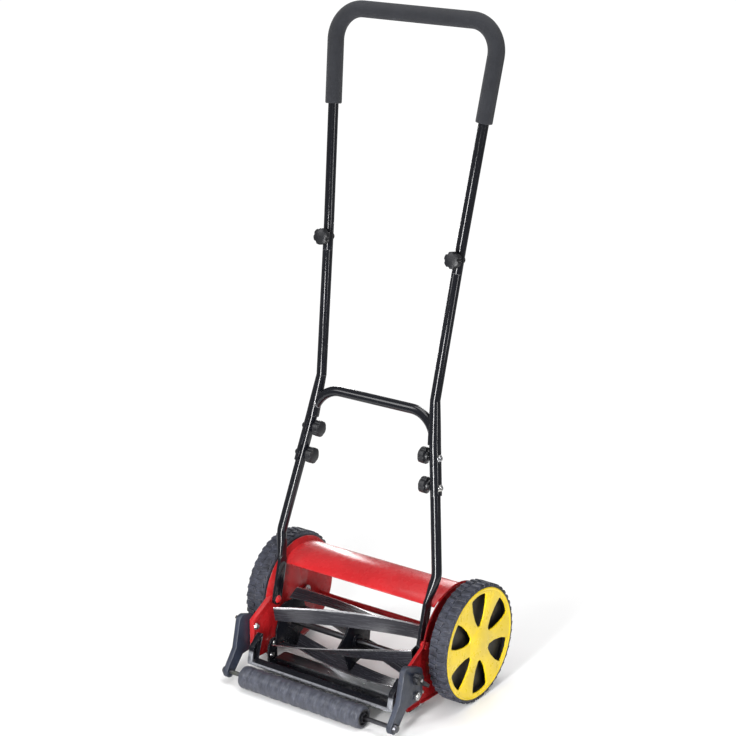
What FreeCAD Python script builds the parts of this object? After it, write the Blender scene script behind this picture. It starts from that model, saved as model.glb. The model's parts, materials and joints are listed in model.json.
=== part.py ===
"""Push reel mower: a five-blade cutting reel geared to two wheels, with a rear height roller
and a handle of round tubes clamped together by star knobs.

Frame: +Y is the direction of travel, +X is the operator's right, +Z is up. The origin is on the
ground, midway between the wheels, straight below the wheel axle. All lengths are millimetres.
"""
import FreeCAD, Part
import math
import os
import re

import Sketcher
from fcgear import fcgear, involute
from FreeCAD import Placement, Rotation, Vector

doc = FreeCAD.newDocument("ReelMower")
PIECES = []
X_AXIS = Vector(1, 0, 0)
ALONG_X = Rotation(Vector(0, 1, 0), 90)

# ---------------------------------------------------------------- driving dimensions

DIMENSIONS = {
    # wheels
    "axle_height": 107.5,
    "wheel_radius": 107.5,
    "wheel_outer": 219,
    "wheel_inner": 181,
    "tyre_bore": 98,
    "cap_radius": 101,
    "cap_thick": 4,
    "web_inner": 203,
    "web_outer": 206.5,
    "hub_radius": 16,
    "bush_radius": 9,
    "axle_radius": 6,
    "running_gap": 0.05,
    # gear train: internal ring in each wheel, pinion on each end of the reel shaft
    "gear_module": 2.5,
    "ring_teeth": 70,
    "pinion_teeth": 12,
    "gear_start": 186,
    "gear_end": 201,
    # side plates
    "plate_inner": 165,
    "plate_thick": 2.5,
    "rim_depth": 7.5,
    "dome_y": -8,
    "dome_z": 112,
    "dome_radius": 89,
    "dome_rim_radius": 100,
    # reel
    "reel_y": -65.5,
    "reel_z": 76.4,
    "reel_radius": 62,
    "reel_shaft_radius": 6,
    "reel_shaft_end": 203,
    "blade_half": 151,
    "blade_inner_radius": 43,
    "blade_lean": 24,
    "blade_thick": 2,
    "blade_first_angle": 101,
    "blade_twist": 74,
    "spider_half": 146,
    "spider_thick": 3,
    # bed bar and bed knife
    "bed_half": 158,
    "bed_sheet": 3,
    "knife_half": 155,
    "knife_thick": 3,
    "knife_front": -74,
    "knife_top": 14.6,
    # roller and its arms
    "roller_y": -205,
    "roller_radius": 20.5,
    "roller_left": -144,
    "roller_right": 120,
    "roller_axle_radius": 4,
    "arm_inner": 174,
    "arm_thick": 10,
    "arm_pivot_y": -143,
    "arm_pivot_z": 56,
    "arm_clamp_y": -143,
    "arm_clamp_z": 88,
    # handle tubes
    "tube_radius": 9,
    "foam_radius": 14.5,
    "pivot_y": -92,
    "pivot_z": 125,
    "pivot_bolt_radius": 4,
    "leg_end_x": 158.5,
    "leg_flat_half": 3,
    "saddle_radius": 11.6,
    # knobs
    "knob_radius": 14.5,
    "knob_length": 17,
    "knob_bolt_radius": 3,
}

sheet = doc.addObject("Spreadsheet::Sheet", "Sizes")
for row, (alias, size) in enumerate(DIMENSIONS.items(), start=1):
    sheet.set(f"A{row}", alias)
    sheet.set(f"B{row}", str(size))
    sheet.setAlias(f"B{row}", alias)
doc.recompute()


def qualified(text):
    """Write the sheet's name before each alias in an expression."""
    def with_sheet(match):
        word = match.group()
        return "Sizes." + word if word in DIMENSIONS else word
    return re.sub(r"[a-z][a-z_0-9]*", with_sheet, str(text))


def size(text):
    """The present value of an expression in the sheet's aliases."""
    return float(sheet.evalExpression(qualified(text)))


def bind(thing, **sizes):
    """Drive properties from the sheet; a double underscore stands for a dot."""
    for name, text in sizes.items():
        thing.setExpression(name.replace("__", "."), qualified(text))


def place(thing, x="0", y="0", z="0", turn=Rotation()):
    thing.Placement = Placement(Vector(size(x), size(y), size(z)), turn)
    bind(thing, Placement__Base__x=x, Placement__Base__y=y, Placement__Base__z=z)


def keep(thing, label):
    """Name a finished sub-part and put it on the list of pieces."""
    thing.Label = label
    PIECES.append(thing)
    return thing


# ---------------------------------------------------------------- primitives and booleans

def rod(name, radius, start, end, y, z):
    """A cylinder along X from start to end."""
    thing = doc.addObject("Part::Cylinder", name)
    bind(thing, Radius=radius, Height=f"({end}) - ({start})")
    place(thing, start, y, z, ALONG_X)
    return thing


def cone(name, start_radius, end_radius, start, length, y, z):
    thing = doc.addObject("Part::Cone", name)
    bind(thing, Radius1=start_radius, Radius2=end_radius, Height=length)
    place(thing, start, y, z, ALONG_X)
    return thing


def block(name, x, y, z, length, width, height):
    thing = doc.addObject("Part::Box", name)
    bind(thing, Length=length, Width=width, Height=height)
    place(thing, x, y, z)
    return thing


def fuse(name, *things):
    thing = doc.addObject("Part::MultiFuse", name)
    thing.Shapes = list(things)
    return thing


def cut(name, base, *tools):
    thing = doc.addObject("Part::Cut", name)
    thing.Base = base
    thing.Tool = tools[0] if len(tools) == 1 else fuse(name + "_tools", *tools)
    return thing


def common(name, first, second):
    thing = doc.addObject("Part::Common", name)
    thing.Base = first
    thing.Tool = second
    return thing


def mirrored(name, source):
    """The left-hand twin of a right-hand piece."""
    thing = doc.addObject("Part::Mirroring", name)
    thing.Source = source
    thing.Normal = X_AXIS
    return thing


def solid(name, shape):
    """A shape made by code, for forms that no primitive or feature gives."""
    thing = doc.addObject("Part::Feature", name)
    thing.Shape = shape
    return thing


# ---------------------------------------------------------------- bodies, sketches and features

def new_body(name, x="0", y="0", z="0", turn=Rotation()):
    body = doc.addObject("PartDesign::Body", name)
    place(body, x, y, z, turn)
    return body


def new_sketch(body, plane, offset="0"):
    """A sketch on one of the body's own origin planes, moved along the plane's normal."""
    sketch = body.newObject("Sketcher::SketchObject", "Sketch")
    for feature in body.Origin.OriginFeatures:
        if feature.Role == plane:
            sketch.AttachmentSupport = [(feature, "")]
    sketch.MapMode = "FlatFace"
    sketch.AttachmentOffset = Placement(Vector(0, 0, size(offset)), Rotation())
    bind(sketch, AttachmentOffset__Base__z=offset)
    return sketch


def polygon(sketch, corners):
    """A closed outline whose corners are pairs of expressions, each tied to the sheet."""
    points = [Vector(size(u), size(v), 0) for u, v in corners]
    lines = [Part.LineSegment(a, b) for a, b in zip(points, points[1:] + points[:1])]
    first = sketch.GeometryCount
    sketch.addGeometry(lines, False)
    count = len(points)
    for index in range(count):
        after = first + (index + 1) % count
        sketch.addConstraint(Sketcher.Constraint("Coincident", first + index, 2, after, 1))
    for index, (u, v) in enumerate(corners):
        for kind, text in (("DistanceX", u), ("DistanceY", v)):
            number = sketch.addConstraint(Sketcher.Constraint(kind, first + index, 1, size(text)))
            sketch.setExpression(f"Constraints[{number}]", qualified(text))


def circle(sketch, radius, u="0", v="0"):
    shape = Part.Circle(Vector(size(u), size(v), 0), Vector(0, 0, 1), size(radius))
    geometry = sketch.addGeometry(shape, False)
    for kind, text in (("DistanceX", u), ("DistanceY", v)):
        number = sketch.addConstraint(Sketcher.Constraint(kind, geometry, 3, size(text)))
        sketch.setExpression(f"Constraints[{number}]", qualified(text))
    number = sketch.addConstraint(Sketcher.Constraint("Radius", geometry, size(radius)))
    sketch.setExpression(f"Constraints[{number}]", qualified(radius))


def feature(body, kind, sketch, **sizes):
    thing = body.newObject("PartDesign::" + kind, kind)
    thing.Profile = sketch
    bind(thing, **sizes)
    return thing


def pad(body, sketch, length, midplane=False):
    thing = feature(body, "Pad", sketch, Length=length)
    thing.Midplane = midplane
    return thing


def pocket_through(body, sketch):
    thing = feature(body, "Pocket", sketch)
    thing.Type = "ThroughAll"
    thing.Midplane = True
    return thing


def turned(name, profile, x="0", y="0", z="0", turn=Rotation()):
    """A turned piece: the profile's corners are (along the axis, radius), spun about X."""
    body = new_body(name, x, y, z, turn)
    sketch = new_sketch(body, "XY_Plane")
    polygon(sketch, profile)
    spin = feature(body, "Revolution", sketch)
    spin.ReferenceAxis = (sketch, ["H_Axis"])
    spin.Angle = 360
    return body


def extruded(name, corners, start, length):
    """A sheet or bar whose outline in (y, z) runs along X from start."""
    body = new_body(name)
    sketch = new_sketch(body, "YZ_Plane", start)
    polygon(sketch, corners)
    pad(body, sketch, length)
    return body


def ring_around(body, tool, count):
    """Repeat a feature evenly about the body's X axis."""
    pattern = body.newObject("PartDesign::PolarPattern", "PolarPattern")
    pattern.Originals = [tool]
    for feature_ in body.Origin.OriginFeatures:
        if feature_.Role == "X_Axis":
            pattern.Axis = (feature_, [""])
    pattern.Angle = 360
    pattern.Occurrences = count
    body.Tip = pattern
    return pattern


def rounded(sketch, corners):
    """A closed outline from corners (u, v, radius), with a tangent arc at each round corner."""
    points = [Vector(u, v, 0) for u, v, _ in corners]
    count = len(points)
    entries, exits, middles = [], [], []
    for index, (_, _, radius) in enumerate(corners):
        here = points[index]
        back = (points[index - 1] - here).normalize()
        ahead = (points[(index + 1) % count] - here).normalize()
        half = back.getAngle(ahead) / 2
        reach = radius / math.tan(half)
        inward = (back + ahead).normalize()
        entries.append(here + back * reach)
        exits.append(here + ahead * reach)
        middles.append(here + inward * (radius / math.sin(half) - radius))
    pieces = []
    for index, (_, _, radius) in enumerate(corners):
        if radius:
            pieces.append(Part.Arc(entries[index], middles[index], exits[index]))
        pieces.append(Part.LineSegment(exits[index], entries[(index + 1) % count]))
    sketch.addGeometry(pieces, False)


def polar(radius, degrees):
    angle = math.radians(degrees)
    return radius * math.cos(angle), radius * math.sin(angle)


# ---------------------------------------------------------------- gear teeth

PRESSURE_ANGLE = 20
STUB_ADDENDUM = 0.8
TOOTH_PLAY_DEGREES = 0.5
MESH_ANGLE = math.degrees(math.atan2(size("reel_z - axle_height"), size("reel_y")))


def gear_face(make_gear, teeth):
    """The flat outline of a gear in the YZ plane, centred on the X axis."""
    builder = fcgear.FCWireBuilder()
    make_gear(builder, size("gear_module"), teeth, PRESSURE_ANGLE, True, STUB_ADDENDUM)
    wire = Part.Wire([piece.toShape() for piece in builder.wire])
    wire.rotate(Vector(), Vector(1, 1, 1), 120)
    return wire


def pinion_outline(turn):
    """A tooth points away from the wheel axle, where the pinion meets the ring."""
    wire = gear_face(involute.CreateExternalGear, int(size("pinion_teeth")))
    wire.rotate(Vector(), X_AXIS, MESH_ANGLE + turn)
    return wire


def ring_outline():
    """A tooth space waits for the pinion's tooth."""
    teeth = int(size("ring_teeth"))
    wire = gear_face(involute.CreateInternalGear, teeth)
    wire.rotate(Vector(), X_AXIS, MESH_ANGLE + 180 / teeth)
    return wire


# ---------------------------------------------------------------- wheels

CAP_WINDOWS = 6
WINDOW_START_ANGLE = 32
WINDOW_CORNERS = [(32.5, 4, 5), (47, 13, 25), (68, 20, 40), (88.5, 22.5, 5), (92.5, 0, 50),
                  (88.5, -22.5, 5), (68, -20, 40), (47, -13, 25), (32.5, -4, 5)]


def make_wheel_cap():
    """The snap-on trim disc: a raised rim bead, a raised middle and six leaf-shaped windows."""
    body = turned("cap_body", [
        ("wheel_outer - cap_thick", "0"), ("wheel_outer - cap_thick", "cap_radius"),
        ("wheel_outer - 1", "cap_radius"), ("wheel_outer", "cap_radius - 1"),
        ("wheel_outer", "cap_radius - 3"), ("wheel_outer - 1", "cap_radius - 4.5"),
        ("wheel_outer - 1", "29"), ("wheel_outer", "25"), ("wheel_outer", "0")],
        z="axle_height")
    sketch = new_sketch(body, "YZ_Plane", "wheel_outer")
    cosine, sine = polar(1, WINDOW_START_ANGLE)
    rounded(sketch, [(u * cosine - v * sine, u * sine + v * cosine, radius)
                     for u, v, radius in WINDOW_CORNERS])
    window = pocket_through(body, sketch)
    ring_around(body, window, CAP_WINDOWS)
    return body


def make_wheel():
    """Tyre, wheel with its internal ring gear, trim cap, bush, axle bolt and retaining nut."""
    tyre = turned("tyre_body", [
        ("wheel_inner", "tyre_bore"), ("wheel_outer - cap_thick", "tyre_bore"),
        ("wheel_outer - cap_thick", "cap_radius + 0.2"), ("wheel_outer", "cap_radius + 0.2"),
        ("wheel_outer", "wheel_radius - 2.5"), ("wheel_outer - 3", "wheel_radius"),
        ("wheel_inner + 3", "wheel_radius"), ("wheel_inner", "wheel_radius - 2.5")],
        z="axle_height")
    blank = turned("wheel_blank", [
        ("wheel_inner + 2", "tyre_bore"), ("wheel_outer - cap_thick", "tyre_bore"),
        ("wheel_outer - cap_thick", "92"), ("web_outer", "92"), ("web_outer", "hub_radius"),
        ("212", "hub_radius"), ("212", "bush_radius"), ("gear_start", "bush_radius"),
        ("gear_start", "hub_radius"), ("web_inner", "hub_radius"), ("web_inner", "84"),
        ("gear_start", "84"), ("gear_start", "94"), ("wheel_inner + 2", "94")],
        z="axle_height")
    ring_face = Part.Face(ring_outline())
    teeth = ring_face.extrude(Vector(size("gear_end - gear_start") + 1, 0, 0))
    ring_tool = solid("ring_tooth_spaces", teeth)
    place(ring_tool, "gear_start - 1", "0", "axle_height")
    wheel = cut("wheel_cut", blank, ring_tool)
    bush = turned("wheel_bush_body", [
        ("gear_start", "axle_radius + running_gap"), ("212", "axle_radius + running_gap"),
        ("212", "bush_radius"), ("gear_start", "bush_radius")], z="axle_height")
    axle = turned("axle_body", [
        ("plate_inner - 5", "0"), ("plate_inner - 5", "9"), ("plate_inner - 4", "10.5"),
        ("plate_inner", "10.5"), ("plate_inner", "axle_radius"),
        ("plate_inner + plate_thick", "axle_radius"), ("plate_inner + plate_thick", "11"),
        ("gear_start - 0.4", "11"), ("gear_start - 0.4", "axle_radius"),
        ("214.6", "axle_radius"), ("214.6", "0")], z="axle_height")
    nut = turned("axle_nut_body", [
        ("212.2", "axle_radius"), ("214.4", "axle_radius"), ("214.4", "9"), ("212.2", "9.6")],
        z="axle_height")
    return {"tyre": tyre, "wheel": wheel, "wheel_cap": make_wheel_cap(), "wheel_bush": bush,
            "wheel_axle": axle, "axle_nut": nut}


# ---------------------------------------------------------------- side plates and bars

PLATE_CORNERS = [("-97", "130"), ("-150", "101"), ("-150", "27"), ("dome_y", "23"),
                 ("dome_y", "dome_z")]
PLATE_FLARE_ANGLE = 20
BEARING_RADIUS = 11
COVER_SCREW_ANGLES = (68, 104)
COVER_SCREW_CIRCLE = 76
BED_BOLTS = ((-104, 44), (-112, 22))
TIE_BAR_Y, TIE_BAR_Z = 45, 84
TIE_BAR_RADIUS = 5.5
SMALL_BOLT_RADIUS = 3


def flared_shell(name, start):
    """The plate's outer form: a round dome joined to the flared lower corner."""
    dome = cone(name + "_dome", "dome_radius", "dome_rim_radius", start, "rim_depth",
                "dome_y", "dome_z")
    body = new_body(name + "_lower")
    sketch = new_sketch(body, "YZ_Plane", start)
    polygon(sketch, PLATE_CORNERS)
    lower = pad(body, sketch, "rim_depth")
    lower.TaperAngle = PLATE_FLARE_ANGLE
    return fuse(name, dome, body)


def plate_hole(name, radius, y, z):
    return rod(name, radius, "plate_inner - 1", "plate_inner + plate_thick + 9", y, z)


def make_side_plate():
    """Pressed steel plate whose edge flares outwards, drilled for everything it carries."""
    shell = flared_shell("plate_outer_form", "plate_inner")
    hollow = flared_shell("plate_hollow_form", "plate_inner + plate_thick")
    dish = cut("plate_dish", shell, hollow)
    holes = [
        plate_hole("hole_axle", "axle_radius", "0", "axle_height"),
        plate_hole("hole_reel", BEARING_RADIUS, "reel_y", "reel_z"),
        plate_hole("hole_pivot", "pivot_bolt_radius", "pivot_y", "pivot_z"),
        plate_hole("hole_arm_pivot", "pivot_bolt_radius", "arm_pivot_y", "arm_pivot_z"),
        plate_hole("hole_clamp", SMALL_BOLT_RADIUS, "arm_clamp_y", "arm_clamp_z"),
        plate_hole("hole_tie", SMALL_BOLT_RADIUS, TIE_BAR_Y, TIE_BAR_Z)]
    for y, z in BED_BOLTS:
        holes.append(plate_hole("hole_bed", SMALL_BOLT_RADIUS, y, z))
    for angle in COVER_SCREW_ANGLES:
        y, z = polar(COVER_SCREW_CIRCLE, angle)
        holes.append(plate_hole("hole_cover", SMALL_BOLT_RADIUS, f"dome_y + {y}", f"dome_z + {z}"))
    return cut("side_plate_cut", dish, *holes)


COVER_OUTER, COVER_SHEET = 92, 2
COVER_FRONT_ANGLE, COVER_BACK_ANGLE = 50, 127
TAB_DEPTH, TAB_SHEET = 26, 2.4


def ring_sector(name, inner, outer, first, last, start, length, y, z):
    """A curved sheet: the part of a tube along X between two angles from +Y towards +Z."""
    big = doc.addObject("Part::Cylinder", name + "_outer")
    bind(big, Radius=outer, Height=length, Angle=last - first)
    small = rod(name + "_inner", inner, f"{start} - 1", f"{start} + {length} + 1", y, z)
    place(big, start, y, z, Rotation(X_AXIS, first) * Rotation(Vector(1, 1, 1), 120))
    return cut(name, big, small)


def make_cover_bar():
    """The curved sheet over the reel, with an end tab screwed to each side plate."""
    half = "(plate_inner - 0.2)"
    roof = ring_sector("cover_roof", COVER_OUTER - COVER_SHEET, COVER_OUTER, COVER_FRONT_ANGLE,
                       COVER_BACK_ANGLE, f"-{half}", f"2 * {half}", "dome_y", "dome_z")
    tabs = []
    for side in (-1, 1):
        edge = f"-{half}" if side < 0 else f"{half} - {TAB_SHEET}"
        tab = ring_sector(f"cover_tab_{side + 1}", COVER_OUTER - TAB_DEPTH, COVER_OUTER - 1,
                          COVER_FRONT_ANGLE + 8, COVER_BACK_ANGLE - 10, edge, TAB_SHEET,
                          "dome_y", "dome_z")
        holes = []
        for angle in COVER_SCREW_ANGLES:
            y, z = polar(COVER_SCREW_CIRCLE, angle)
            holes.append(rod("cover_tab_hole", SMALL_BOLT_RADIUS, "-plate_inner", "plate_inner",
                             f"dome_y + {y}", f"dome_z + {z}"))
        tabs.append(cut(f"cover_tab_drilled_{side + 1}", tab, *holes))
    return fuse("cover_bar_fused", roof, *tabs)


def bolt(name, shank, head, start, end, y, z, head_depth=3.5, head_at_end=False):
    """A bolt along X with a low domed head."""
    stem = rod(name + "_stem", shank, start, end, y, z)
    if head_at_end:
        top = cone(name + "_head", head, f"{head} * 0.6", end, head_depth, y, z)
    else:
        top = cone(name + "_head", f"{head} * 0.6", head, f"{start} - {head_depth}", head_depth,
                   y, z)
    return fuse(name, stem, top)


def hex_nut(name, across, start, length, y, z):
    thing = doc.addObject("Part::Prism", name)
    bind(thing, Polygon="6", Circumradius=across / math.sqrt(3), Height=length)
    place(thing, start, y, z, ALONG_X)
    return thing


def make_plate_fasteners():
    """Cover screws, tie bar nuts and bed bar bolts of the right-hand plate."""
    outside = "plate_inner + plate_thick"
    screws = []
    for index, angle in enumerate(COVER_SCREW_ANGLES):
        y, z = polar(COVER_SCREW_CIRCLE, angle)
        screws.append(bolt(f"cover_screw_{index}", SMALL_BOLT_RADIUS, 5.5,
                           f"plate_inner - 0.2 - {TAB_SHEET}", outside,
                           f"dome_y + {y}", f"dome_z + {z}", 2.6))
    bed = []
    for index, (y, z) in enumerate(BED_BOLTS):
        screw = bolt(f"bed_bolt_{index}", SMALL_BOLT_RADIUS, 6, "bed_half - bed_sheet",
                     f"{outside} + 4.5", y, z, 3)
        spacer = rod(f"bed_spacer_{index}", 5.5, "bed_half", "plate_inner", y, z)
        bed.append(fuse(f"bed_bolt_set_{index}", screw, spacer))
    tie = hex_nut("tie_nut_hex", 10, outside, "4.5", TIE_BAR_Y, TIE_BAR_Z)
    tie_bore = rod("tie_nut_bore", SMALL_BOLT_RADIUS, outside, f"{outside} + 4.5", TIE_BAR_Y, TIE_BAR_Z)
    return {"cover_screws": fuse("cover_screws_fused", *screws),
            "bed_bar_bolts": fuse("bed_bolts_fused", *bed),
            "tie_bar_nut": cut("tie_nut_cut", tie, tie_bore)}


def make_tie_bar():
    """The front cross bar that holds the side plates apart, with a thinner end through each."""
    end = "plate_inner + plate_thick + 5.5"
    return turned("tie_bar_body", [
        (f"-({end})", "0"), (f"-({end})", f"{SMALL_BOLT_RADIUS}"),
        ("-(plate_inner - 0.1)", f"{SMALL_BOLT_RADIUS}"), ("-(plate_inner - 0.1)", f"{TIE_BAR_RADIUS}"),
        ("plate_inner - 0.1", f"{TIE_BAR_RADIUS}"), ("plate_inner - 0.1", f"{SMALL_BOLT_RADIUS}"),
        (end, f"{SMALL_BOLT_RADIUS}"), (end, "0")], y=str(TIE_BAR_Y), z=str(TIE_BAR_Z))


# ---------------------------------------------------------------- bed bar and bed knife

KNIFE_SCREWS = (-120, -40, 40, 120)
KNIFE_SCREW_Y = -94
BED_PROFILE = [("knife_front - 5", "knife_top - knife_thick"), ("-126", "knife_top - knife_thick"),
               ("-160", "37"), ("-178", "33.5"), ("-178", "33.5 - bed_sheet"), ("-159", "33.5"),
               ("-125", "knife_top - knife_thick - bed_sheet"),
               ("knife_front - 5", "knife_top - knife_thick - bed_sheet")]
CHEEK_BACK = [(-178, 31, 0), (-178, 36, 0), (-172, 62, 12), (-142, 86, 3), (-150, 62, 10),
              (-158, 36, 0)]
CHEEK_FRONT = [(-122, 9, 0), (-122, 40, 6), (-112, 54, 8), (-97, 54, 8), (-97, 12, 4)]


CHEEK_RIM_INSIDE = [(-173, 37.5, 0), (-168, 60, 9), (-144, 79, 2), (-152, 60, 7), (-159, 39.5, 0)]
CHEEK_RIM_DEPTH = 10


def cheek_rim(name, start):
    """The turned-in edge that stiffens a rear cheek."""
    body = new_body(name)
    outline = new_sketch(body, "YZ_Plane", start)
    rounded(outline, CHEEK_BACK)
    pad(body, outline, str(CHEEK_RIM_DEPTH))
    inside = new_body(name + "_inside")
    opening = new_sketch(inside, "YZ_Plane", f"{start} - 1")
    rounded(opening, CHEEK_RIM_INSIDE)
    pad(inside, opening, str(CHEEK_RIM_DEPTH + 2))
    return cut(name + "_cut", body, inside)


def make_bed_bar():
    """Bent sheet under and behind the reel; its end cheeks bolt to the side plates."""
    sheet_bar = extruded("bed_sheet_body", BED_PROFILE, "-bed_half", "2 * bed_half")
    parts = [sheet_bar, cheek_rim("rim_left", "-bed_half"),
             cheek_rim("rim_right", f"bed_half - {CHEEK_RIM_DEPTH}")]
    for index, start in enumerate(("-bed_half", "bed_half - bed_sheet")):
        for outline in (CHEEK_BACK, CHEEK_FRONT):
            body = new_body(f"bed_cheek_{index}")
            sketch = new_sketch(body, "YZ_Plane", start)
            rounded(sketch, outline)
            pad(body, sketch, "bed_sheet")
            parts.append(body)
    joined = fuse("bed_bar_joined", *parts)
    holes = []
    for x in KNIFE_SCREWS:
        holes.append(upright(f"bed_hole_{x}", SMALL_BOLT_RADIUS, x, KNIFE_SCREW_Y, "0", "20"))
    for y, z in BED_BOLTS:
        holes.append(rod("cheek_hole", SMALL_BOLT_RADIUS, "-plate_inner", "plate_inner", y, z))
    return cut("bed_bar_drilled", joined, *holes)


def upright(name, radius, x, y, low, high):
    """A cylinder along Z."""
    thing = doc.addObject("Part::Cylinder", name)
    bind(thing, Radius=radius, Height=f"({high}) - ({low})")
    place(thing, x, y, low)
    return thing


def make_bed_knife():
    """The fixed blade: a flat bar with a bevelled front edge."""
    bar = extruded("knife_body", [
        ("knife_front", "knife_top - 0.8"), ("knife_front", "knife_top"),
        ("knife_front - 30", "knife_top"), ("knife_front - 30", "knife_top - knife_thick"),
        ("knife_front - 4", "knife_top - knife_thick")], "-knife_half", "2 * knife_half")
    holes = [upright(f"knife_hole_{x}", SMALL_BOLT_RADIUS, x, KNIFE_SCREW_Y, "0", "20")
             for x in KNIFE_SCREWS]
    return cut("knife_drilled", bar, *holes)


def make_knife_screws():
    """Flush screws: each ends level with the knife and with the underside of the bed bar."""
    screws = [upright(f"knife_screw_{x}", SMALL_BOLT_RADIUS, x, KNIFE_SCREW_Y,
                      "knife_top - knife_thick - bed_sheet", "knife_top")
              for x in KNIFE_SCREWS]
    return fuse("knife_screws_fused", *screws)


# ---------------------------------------------------------------- reel

BLADES = 5
BLADE_STATIONS = 13
SPIDER_GAP = 1.7
END_SPIDER_VALLEY = 46
MIDDLE_SPIDER_VALLEY = 41
PAWL_WIDTH = 4
EDGE_TRIM = 0.8


def blade_angle(number, x):
    """Angle of a blade's cutting edge, from +Y towards +Z, at a place along the shaft."""
    turn_per_mm = size("blade_twist") / (2 * size("blade_half"))
    return size("blade_first_angle") + number * 360 / BLADES - turn_per_mm * x


def blade_section(number, x):
    """The strip's cross-section: it leans back from the cutting edge to its inner edge."""
    edge = blade_angle(number, x)
    outer = Vector(x, *polar(size("reel_radius"), edge))
    inner = Vector(x, *polar(size("blade_inner_radius"), edge + size("blade_lean")))
    along = (inner - outer).normalize()
    across = along.cross(X_AXIS) * (size("blade_thick") / 2)
    tip = outer + along * EDGE_TRIM
    corners = [tip + across, inner + across, inner - across, tip - across]
    return Part.makePolygon(corners + corners[:1])


def make_blade(number):
    half = size("blade_half")
    step = 2 * half / (BLADE_STATIONS - 1)
    sections = [blade_section(number, -half + step * index) for index in range(BLADE_STATIONS)]
    blade = solid(f"blade_shape_{number}", Part.makeLoft(sections, True, False))
    place(blade, "0", "reel_y", "reel_z")
    return blade


def make_spider(name, x, valley):
    """Pressed plate with a slanted seat for each blade and a boss on the shaft."""
    corners = []
    for number in range(BLADES):
        edge = blade_angle(number, x)
        outer = Vector(*polar(size("reel_radius"), edge), 0)
        inner = Vector(*polar(size("blade_inner_radius"), edge + size("blade_lean")), 0)
        along = (inner - outer).normalize()
        to_shaft = Vector(-along.y, along.x, 0)
        if to_shaft.dot(outer) > 0:
            to_shaft = -to_shaft
        seat = to_shaft * SPIDER_GAP
        start = outer + along * 6 + seat
        end = inner + along * 1 + seat
        valley_y, valley_z = polar(valley, edge + size("blade_lean") + 24)
        corners += [(start.x, start.y, 1), (end.x, end.y, 2), (valley_y, valley_z, 5)]
    body = new_body(name, x="0", y="reel_y", z="reel_z")
    sketch = new_sketch(body, "YZ_Plane", f"{x} - spider_thick / 2")
    rounded(sketch, corners)
    pad(body, sketch, "spider_thick")
    boss = new_sketch(body, "YZ_Plane", f"{x} - 7")
    circle(boss, "13")
    pad(body, boss, "14")
    bore = new_sketch(body, "YZ_Plane", x)
    circle(bore, "reel_shaft_radius")
    pocket_through(body, bore)
    return body


def pawl(name, side):
    """The key that lets the pinion drive the shaft one way and coast the other."""
    return block(name, f"{193 * side} - 3", f"reel_y - {PAWL_WIDTH / 2}", "reel_z - 8.5",
                 "6", PAWL_WIDTH, "17")


def make_reel_shaft():
    bar = rod("shaft_bar", "reel_shaft_radius", "-reel_shaft_end", "reel_shaft_end",
              "reel_y", "reel_z")
    return cut("shaft_slotted", bar, pawl("shaft_slot_left", -1), pawl("shaft_slot_right", 1))


def make_pinion():
    """What two slightly turned copies share has thinner teeth, which gives the running play."""
    copies = []
    for turn in (-TOOTH_PLAY_DEGREES, TOOTH_PLAY_DEGREES):
        face = Part.Face(pinion_outline(turn))
        teeth = solid("pinion_teeth_shape", face.extrude(Vector(13, 0, 0)))
        place(teeth, "gear_start + 1", "reel_y", "reel_z")
        copies.append(teeth)
    teeth = common("pinion_teeth", *copies)
    bore = rod("pinion_bore", "reel_shaft_radius", "gear_start", "gear_end", "reel_y", "reel_z")
    recess = rod("pinion_recess", "9", "gear_start + 3.5", "gear_end", "reel_y", "reel_z")
    return cut("pinion_cut", teeth, bore, recess)


def make_reel_bearing():
    return turned("bearing_body", [
        ("plate_inner - 6", "reel_shaft_radius + running_gap"),
        ("plate_inner + 7", "reel_shaft_radius + running_gap"),
        ("plate_inner + 7", BEARING_RADIUS), ("plate_inner", BEARING_RADIUS),
        ("plate_inner", "15"), ("plate_inner - 4", "15"), ("plate_inner - 6", "12")],
        y="reel_y", z="reel_z")


def make_circlip():
    return turned("circlip_body", [
        ("gear_end - 0.4", "reel_shaft_radius"), ("gear_end + 0.8", "reel_shaft_radius"),
        ("gear_end + 0.8", "10"), ("gear_end - 0.4", "10")], y="reel_y", z="reel_z")


# ---------------------------------------------------------------- roller and its arms

GROOVES = 11
GROOVE_DEPTH = 1.0
ARM_TOP = (-166, 104, 13)
ARM_FRONT_UPPER = (-137, 92, 14)
ARM_FRONT_LOWER = (-137, 58, 14)
ARM_KNEE = (-176, 56, 14)
ARM_SLOT_DOWN, ARM_SLOT_UP = 19, 12


def make_roller():
    """Plastic roller with a groove at every pitch and a flange boss at each end."""
    start, end = size("roller_left"), size("roller_right")
    pitch = (end - start) / (GROOVES + 1)
    profile = [("roller_left", "roller_axle_radius + running_gap"), ("roller_left", "roller_radius - 3"),
               ("roller_left + 3", "roller_radius")]
    for number in range(1, GROOVES + 1):
        middle = f"roller_left + {number} * (roller_right - roller_left) / {GROOVES + 1}"
        profile += [(f"{middle} - {pitch * 0.22}", "roller_radius"),
                    (f"{middle} - {pitch * 0.12}", f"roller_radius - {GROOVE_DEPTH}"),
                    (f"{middle} + {pitch * 0.12}", f"roller_radius - {GROOVE_DEPTH}"),
                    (f"{middle} + {pitch * 0.22}", "roller_radius")]
    profile += [("roller_right - 3", "roller_radius"), ("roller_right", "roller_radius - 3"),
                ("roller_right", "13"), ("roller_right - 4", "12"), ("roller_right - 4", "8"),
                ("roller_right + 2", "7"), ("roller_right + 2", "roller_axle_radius + running_gap")]
    return turned("roller_body", profile, y="roller_y", z="roller_radius")


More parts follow.
